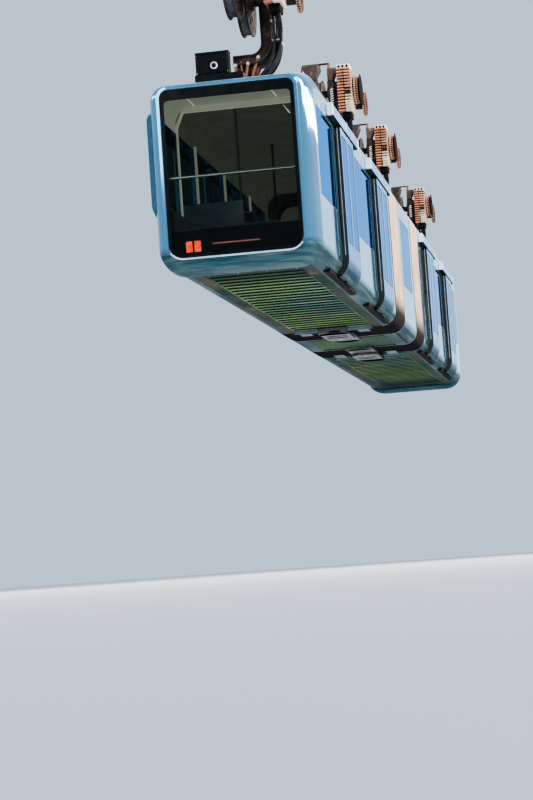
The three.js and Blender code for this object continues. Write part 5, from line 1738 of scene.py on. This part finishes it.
# %% Roof box
LENS = (0.704, 0.26, 2.812)
housing = block("housing", (0.704, 0.052, 2.695), (0.858, 0.518, 3.008), 0.010, 3)
pressed(housing, lambda p: p.x < 0.705, (0.028, 0), (0.004, -0.006))
lid = block("lid", (0.700, 0.048, 2.985), (0.862, 0.522, 3.010), 0.006)
foot = block("foot", (0.692, -0.138, 2.60), (0.898, 0.538, 2.6955), 0.008)
hood = spun("hood", [(0.034, -0.016), (0.050, -0.018), (0.052, -0.012), (0.052, 0.012), (0.034, 0.012),
                     (0.034, -0.016)], LENS, "X", 32)
coat(hood, plain("lens_ring", (0.62, 0.63, 0.64), (0.48, 0.49, 0.50), 0.3, 30.0, Metallic=0.4))
lens = spun("lens", [(0.0, -0.012), (0.016, -0.009), (0.028, -0.001), (0.034, 0.006), (0.034, 0.010)], LENS,
            "X", 28)
screws = [rod("screw", (0.7015, y, z), (0.7055, y, z), 0.007, 10, 0.001) for y in (0.075, 0.495)
          for z in (2.72, 2.965)]
louvre = block("louvre", (0.72, 0.516, 2.74), (0.85, 0.5215, 2.748), 0.002)
repeated(louvre, 9, (0, 0, 0.024))
box_piece = weld("roof_camera_box", *coats(BLACK_SATIN, housing, lid, foot), hood, coat(lens, BLACK),
                 coat(louvre, BLACK_SATIN), *coats(STEEL_TUBE, *screws))
placed(box_piece, "roof_camera_box", "rear", "black_plastic", "rear_roof_box")
print("roof box", [round(v, 3) for v in box_piece.dimensions])

# %% [markdown]
# ## The cab at the front end
# The front end has a driver's place: a wall with two windows behind, a desk below the
# window with a hood and a screen, and a sprung seat. The wall is a bridged frame with the
# windows cut out and rubber round them; the desk is an outline extruded across.

# %% Partition
wall = bridged("cab_wall", "X",
               [(u, -1.0385, 1.0385, 0.1215, CEILING_LOW, 0.17, 0.24) for u in (1.642, 1.678)])
coat(wall, LINING)
WALL_WINDOWS = (-0.25, 0.85, 0.95, 2.25), (-0.85, -0.35, 0.95, 2.15)
cut(wall, *[bridged("cutter", "X", [(u, *window, 0.07, 0.07) for u in (1.5, 1.8)])
            for window in WALL_WINDOWS])
soften(wall, 0.003, 2, 60)
wall_parts = [wall]
for y0, y1, z0, z1 in WALL_WINDOWS:
    glass = bridged("glass", "X", [(u, y0, y1, z0, z1, 0.07, 0.07) for u in (1.657, 1.663)])
    seal = bridged("seal", "X", [(u, y0 - o, y1 + o, z0 - o, z1 + o, 0.075, 0.075) for u, o in
                                 ((1.6405, 0.012), (1.6405, -0.010), (1.6795, -0.010), (1.6795, 0.012))],
                   close="ring")
    wall_parts += [coat(glass, FACE_GLASS), coat(seal, RUBBER)]
wall_parts.append(coat(rod("handle", (1.639, -0.30, 1.0), (1.639, -0.30, 1.25), 0.008, 12, 0.002),
                       STEEL_TUBE))
placed(weld("cab_partition", *wall_parts), "cab_partition", "front", "lining", "front_partition")

# %% Desk
desk = drawn("desk", "Y", [(0.135, 0.1215), (0.468, 0.1215), (0.468, 0.70), (0.618, 0.86), (0.600, 0.93),
                           (0.330, 0.998), (0.135, 0.938)], -0.755, 0.755, 0)
cut(desk, block("cutter", (0.30, -0.30, 0.0), (0.75, 0.30, 0.80), 0.02))
soften(desk, 0.008, 3, 30)
hood = block("hood", (0.18, -0.30, 0.955), (0.36, 0.30, 0.999), 0.012, 3)
screen = block("screen", (0.395, -0.14, 0.955), (0.455, 0.14, 0.985), 0.004)
pressed(screen, lambda p: p.x > 0.454, (0.006, -0.002))
parts = [*coats(BLACK_SATIN, desk, hood), coat(screen, BLACK)]
for k in range(7):
    y = -0.62 + k * 0.06 + (0.86 if k > 3 else 0)
    button = rod("button", (0.5, y, 0.948), (0.507, y, 0.962), 0.011, 16, 0.002)
    parts.append(coat(button, PALE_TRIM if k % 3 else PIPING))
placed(weld("cab_desk", *parts), "cab_desk", "front", "black_plastic", "front_desk")

# %% Driver's seat
plinth = block("plinth", (0.90, -0.168, 0.1215), (1.21, 0.168, 0.178), 0.012, 3)
stem = spun("stem", [(0, 0.175), (0.085, 0.175), (0.070, 0.20), (0.055, 0.23), (0.055, 0.40), (0.075, 0.43),
                     (0.12, 0.468), (0, 0.468)], (1.04, 0, 0), "Z", 24)
pan = block("pan", (0.803, -0.248, 0.466), (1.278, 0.248, 0.488), 0.008)
back = block("back", (1.308, -0.238, 0.475), (1.338, 0.238, 1.165), 0.012, 3)
post = block("post", (1.26, -0.06, 0.470), (1.325, 0.06, 0.60), 0.01)
seat_frame = weld("driver_seat_frame", coat(plinth, BLACK_SATIN), coat(stem, STEEL_TUBE),
                  *coats(SEAT_SHELL, pan, back), coat(post, BLACK_SATIN))
placed(seat_frame, "driver_seat_frame", "front", "seat_cover", "front_driver_seat")
seat = cushion("pad", (0.803, -0.248, 0.489), (1.272, 0.248, 0.578), 0.014, (0.3, 0.7), along=1)
back = cushion("pad", (1.225, -0.238, 0.60), (1.307, 0.238, 1.162), 0.012, (0.4,), along=2, face=0, side=-1)
padded(seat, "driver_seat_cushion", "front")
padded(back, "driver_back_cushion", "front")
print("cab done")

# %% [markdown]
# ## The room
# The car hangs over a pale floor in a pale blue world, and large soft lamps, which the
# camera doesn't see, stand round it. The one on the door side is the strongest. Metallic
# paint shows what it mirrors, so a long soft box and three thin strips are placed where the
# nose and the door side reflect them, and weaker lamps open the shadows of both ends.

# %% Floor, world and lamps
bpy.ops.object.select_all(action="DESELECT")
bpy.ops.mesh.primitive_plane_add(size=400, location=(0, 0, -7.70))
ground = applied(called(bpy.context.object, "studio_floor"))
ground_finish = Finish("pale_floor")
tone = ground_finish.mixed(ground_finish.noise(0.12, 3.0), (0.62, 0.63, 0.63), (0.70, 0.71, 0.71))
coat(ground, ground_finish.out(ground_finish.shader(tone, 0.85)))

world = bpy.data.worlds.new("pale_sky")
bpy.context.scene.world = world
world.use_nodes = True
background = world.node_tree.nodes["Background"]
background.inputs["Color"].default_value = (0.66, 0.81, 1.0, 1)
background.inputs["Strength"].default_value = 0.9
bpy.context.scene.view_settings.look = "AgX - Medium High Contrast"
WARM, WHITE = (1.0, 0.97, 0.93), (1.0, 1.0, 1.0)


def soft_lamp(name, place, target, size, power, colour=WHITE, turn=0.0):
    """A soft lamp of (width, height) that looks at a target; turn rotates it about its own axis."""
    lamp = bpy.data.lights.new(name, "AREA")
    lamp.shape, lamp.energy, lamp.color = "RECTANGLE", power, colour
    lamp.size, lamp.size_y = size
    holder = bpy.data.objects.new(name, lamp)
    way = (Vector(target) - Vector(place)).to_track_quat("-Z", "Y").to_matrix().to_4x4()
    holder.visible_camera = False
    holder.matrix_world = Matrix.Translation(place) @ way @ Matrix.Rotation(math.radians(turn), 4, "Z")
    bpy.context.scene.collection.objects.link(holder)


soft_lamp("door_side_lamp", (-4.0, -26.0, 12.0), (-9.0, 0, -2.0), (14.0, 14.0), 14000, WARM)
soft_lamp("sun_side_lamp", (-26.0, -12.0, 13.0), (-10.5, 0, -1.0), (5.0, 5.0), 3000, WARM)
soft_lamp("long_soft_box", (-17.0, -8.5, 6.2), (-17.0, 0, 6.2), (25.0, 6.4), 2800, (0.90, 0.96, 1.0), 10.5)
soft_lamp("bright_strip", (19.3, -8.4, 4.86), (19.3, 0, 4.86), (47.0, 0.74), 2300, WHITE, 10.1)
soft_lamp("short_strip", (-7.2, -8.4, 0.62), (-7.2, 0, 0.62), (6.4, 0.7), 330, WHITE, 3.0)
soft_lamp("left_strip", (-15.0, 9.0, 2.0), (-15.0, 0, 2.0), (18.0, 1.6), 500)
soft_lamp("far_end_lamp", (35.0, -5.0, 3.0), (0.0, -5.0, 0.0), (10.0, 14.0), 330, (0.74, 0.91, 1.0))
soft_lamp("viewer_side_lamp", (-34.0, 10.0, 6.0), (-10.0, 0, -2.0), (8.0, 8.0), 1200)
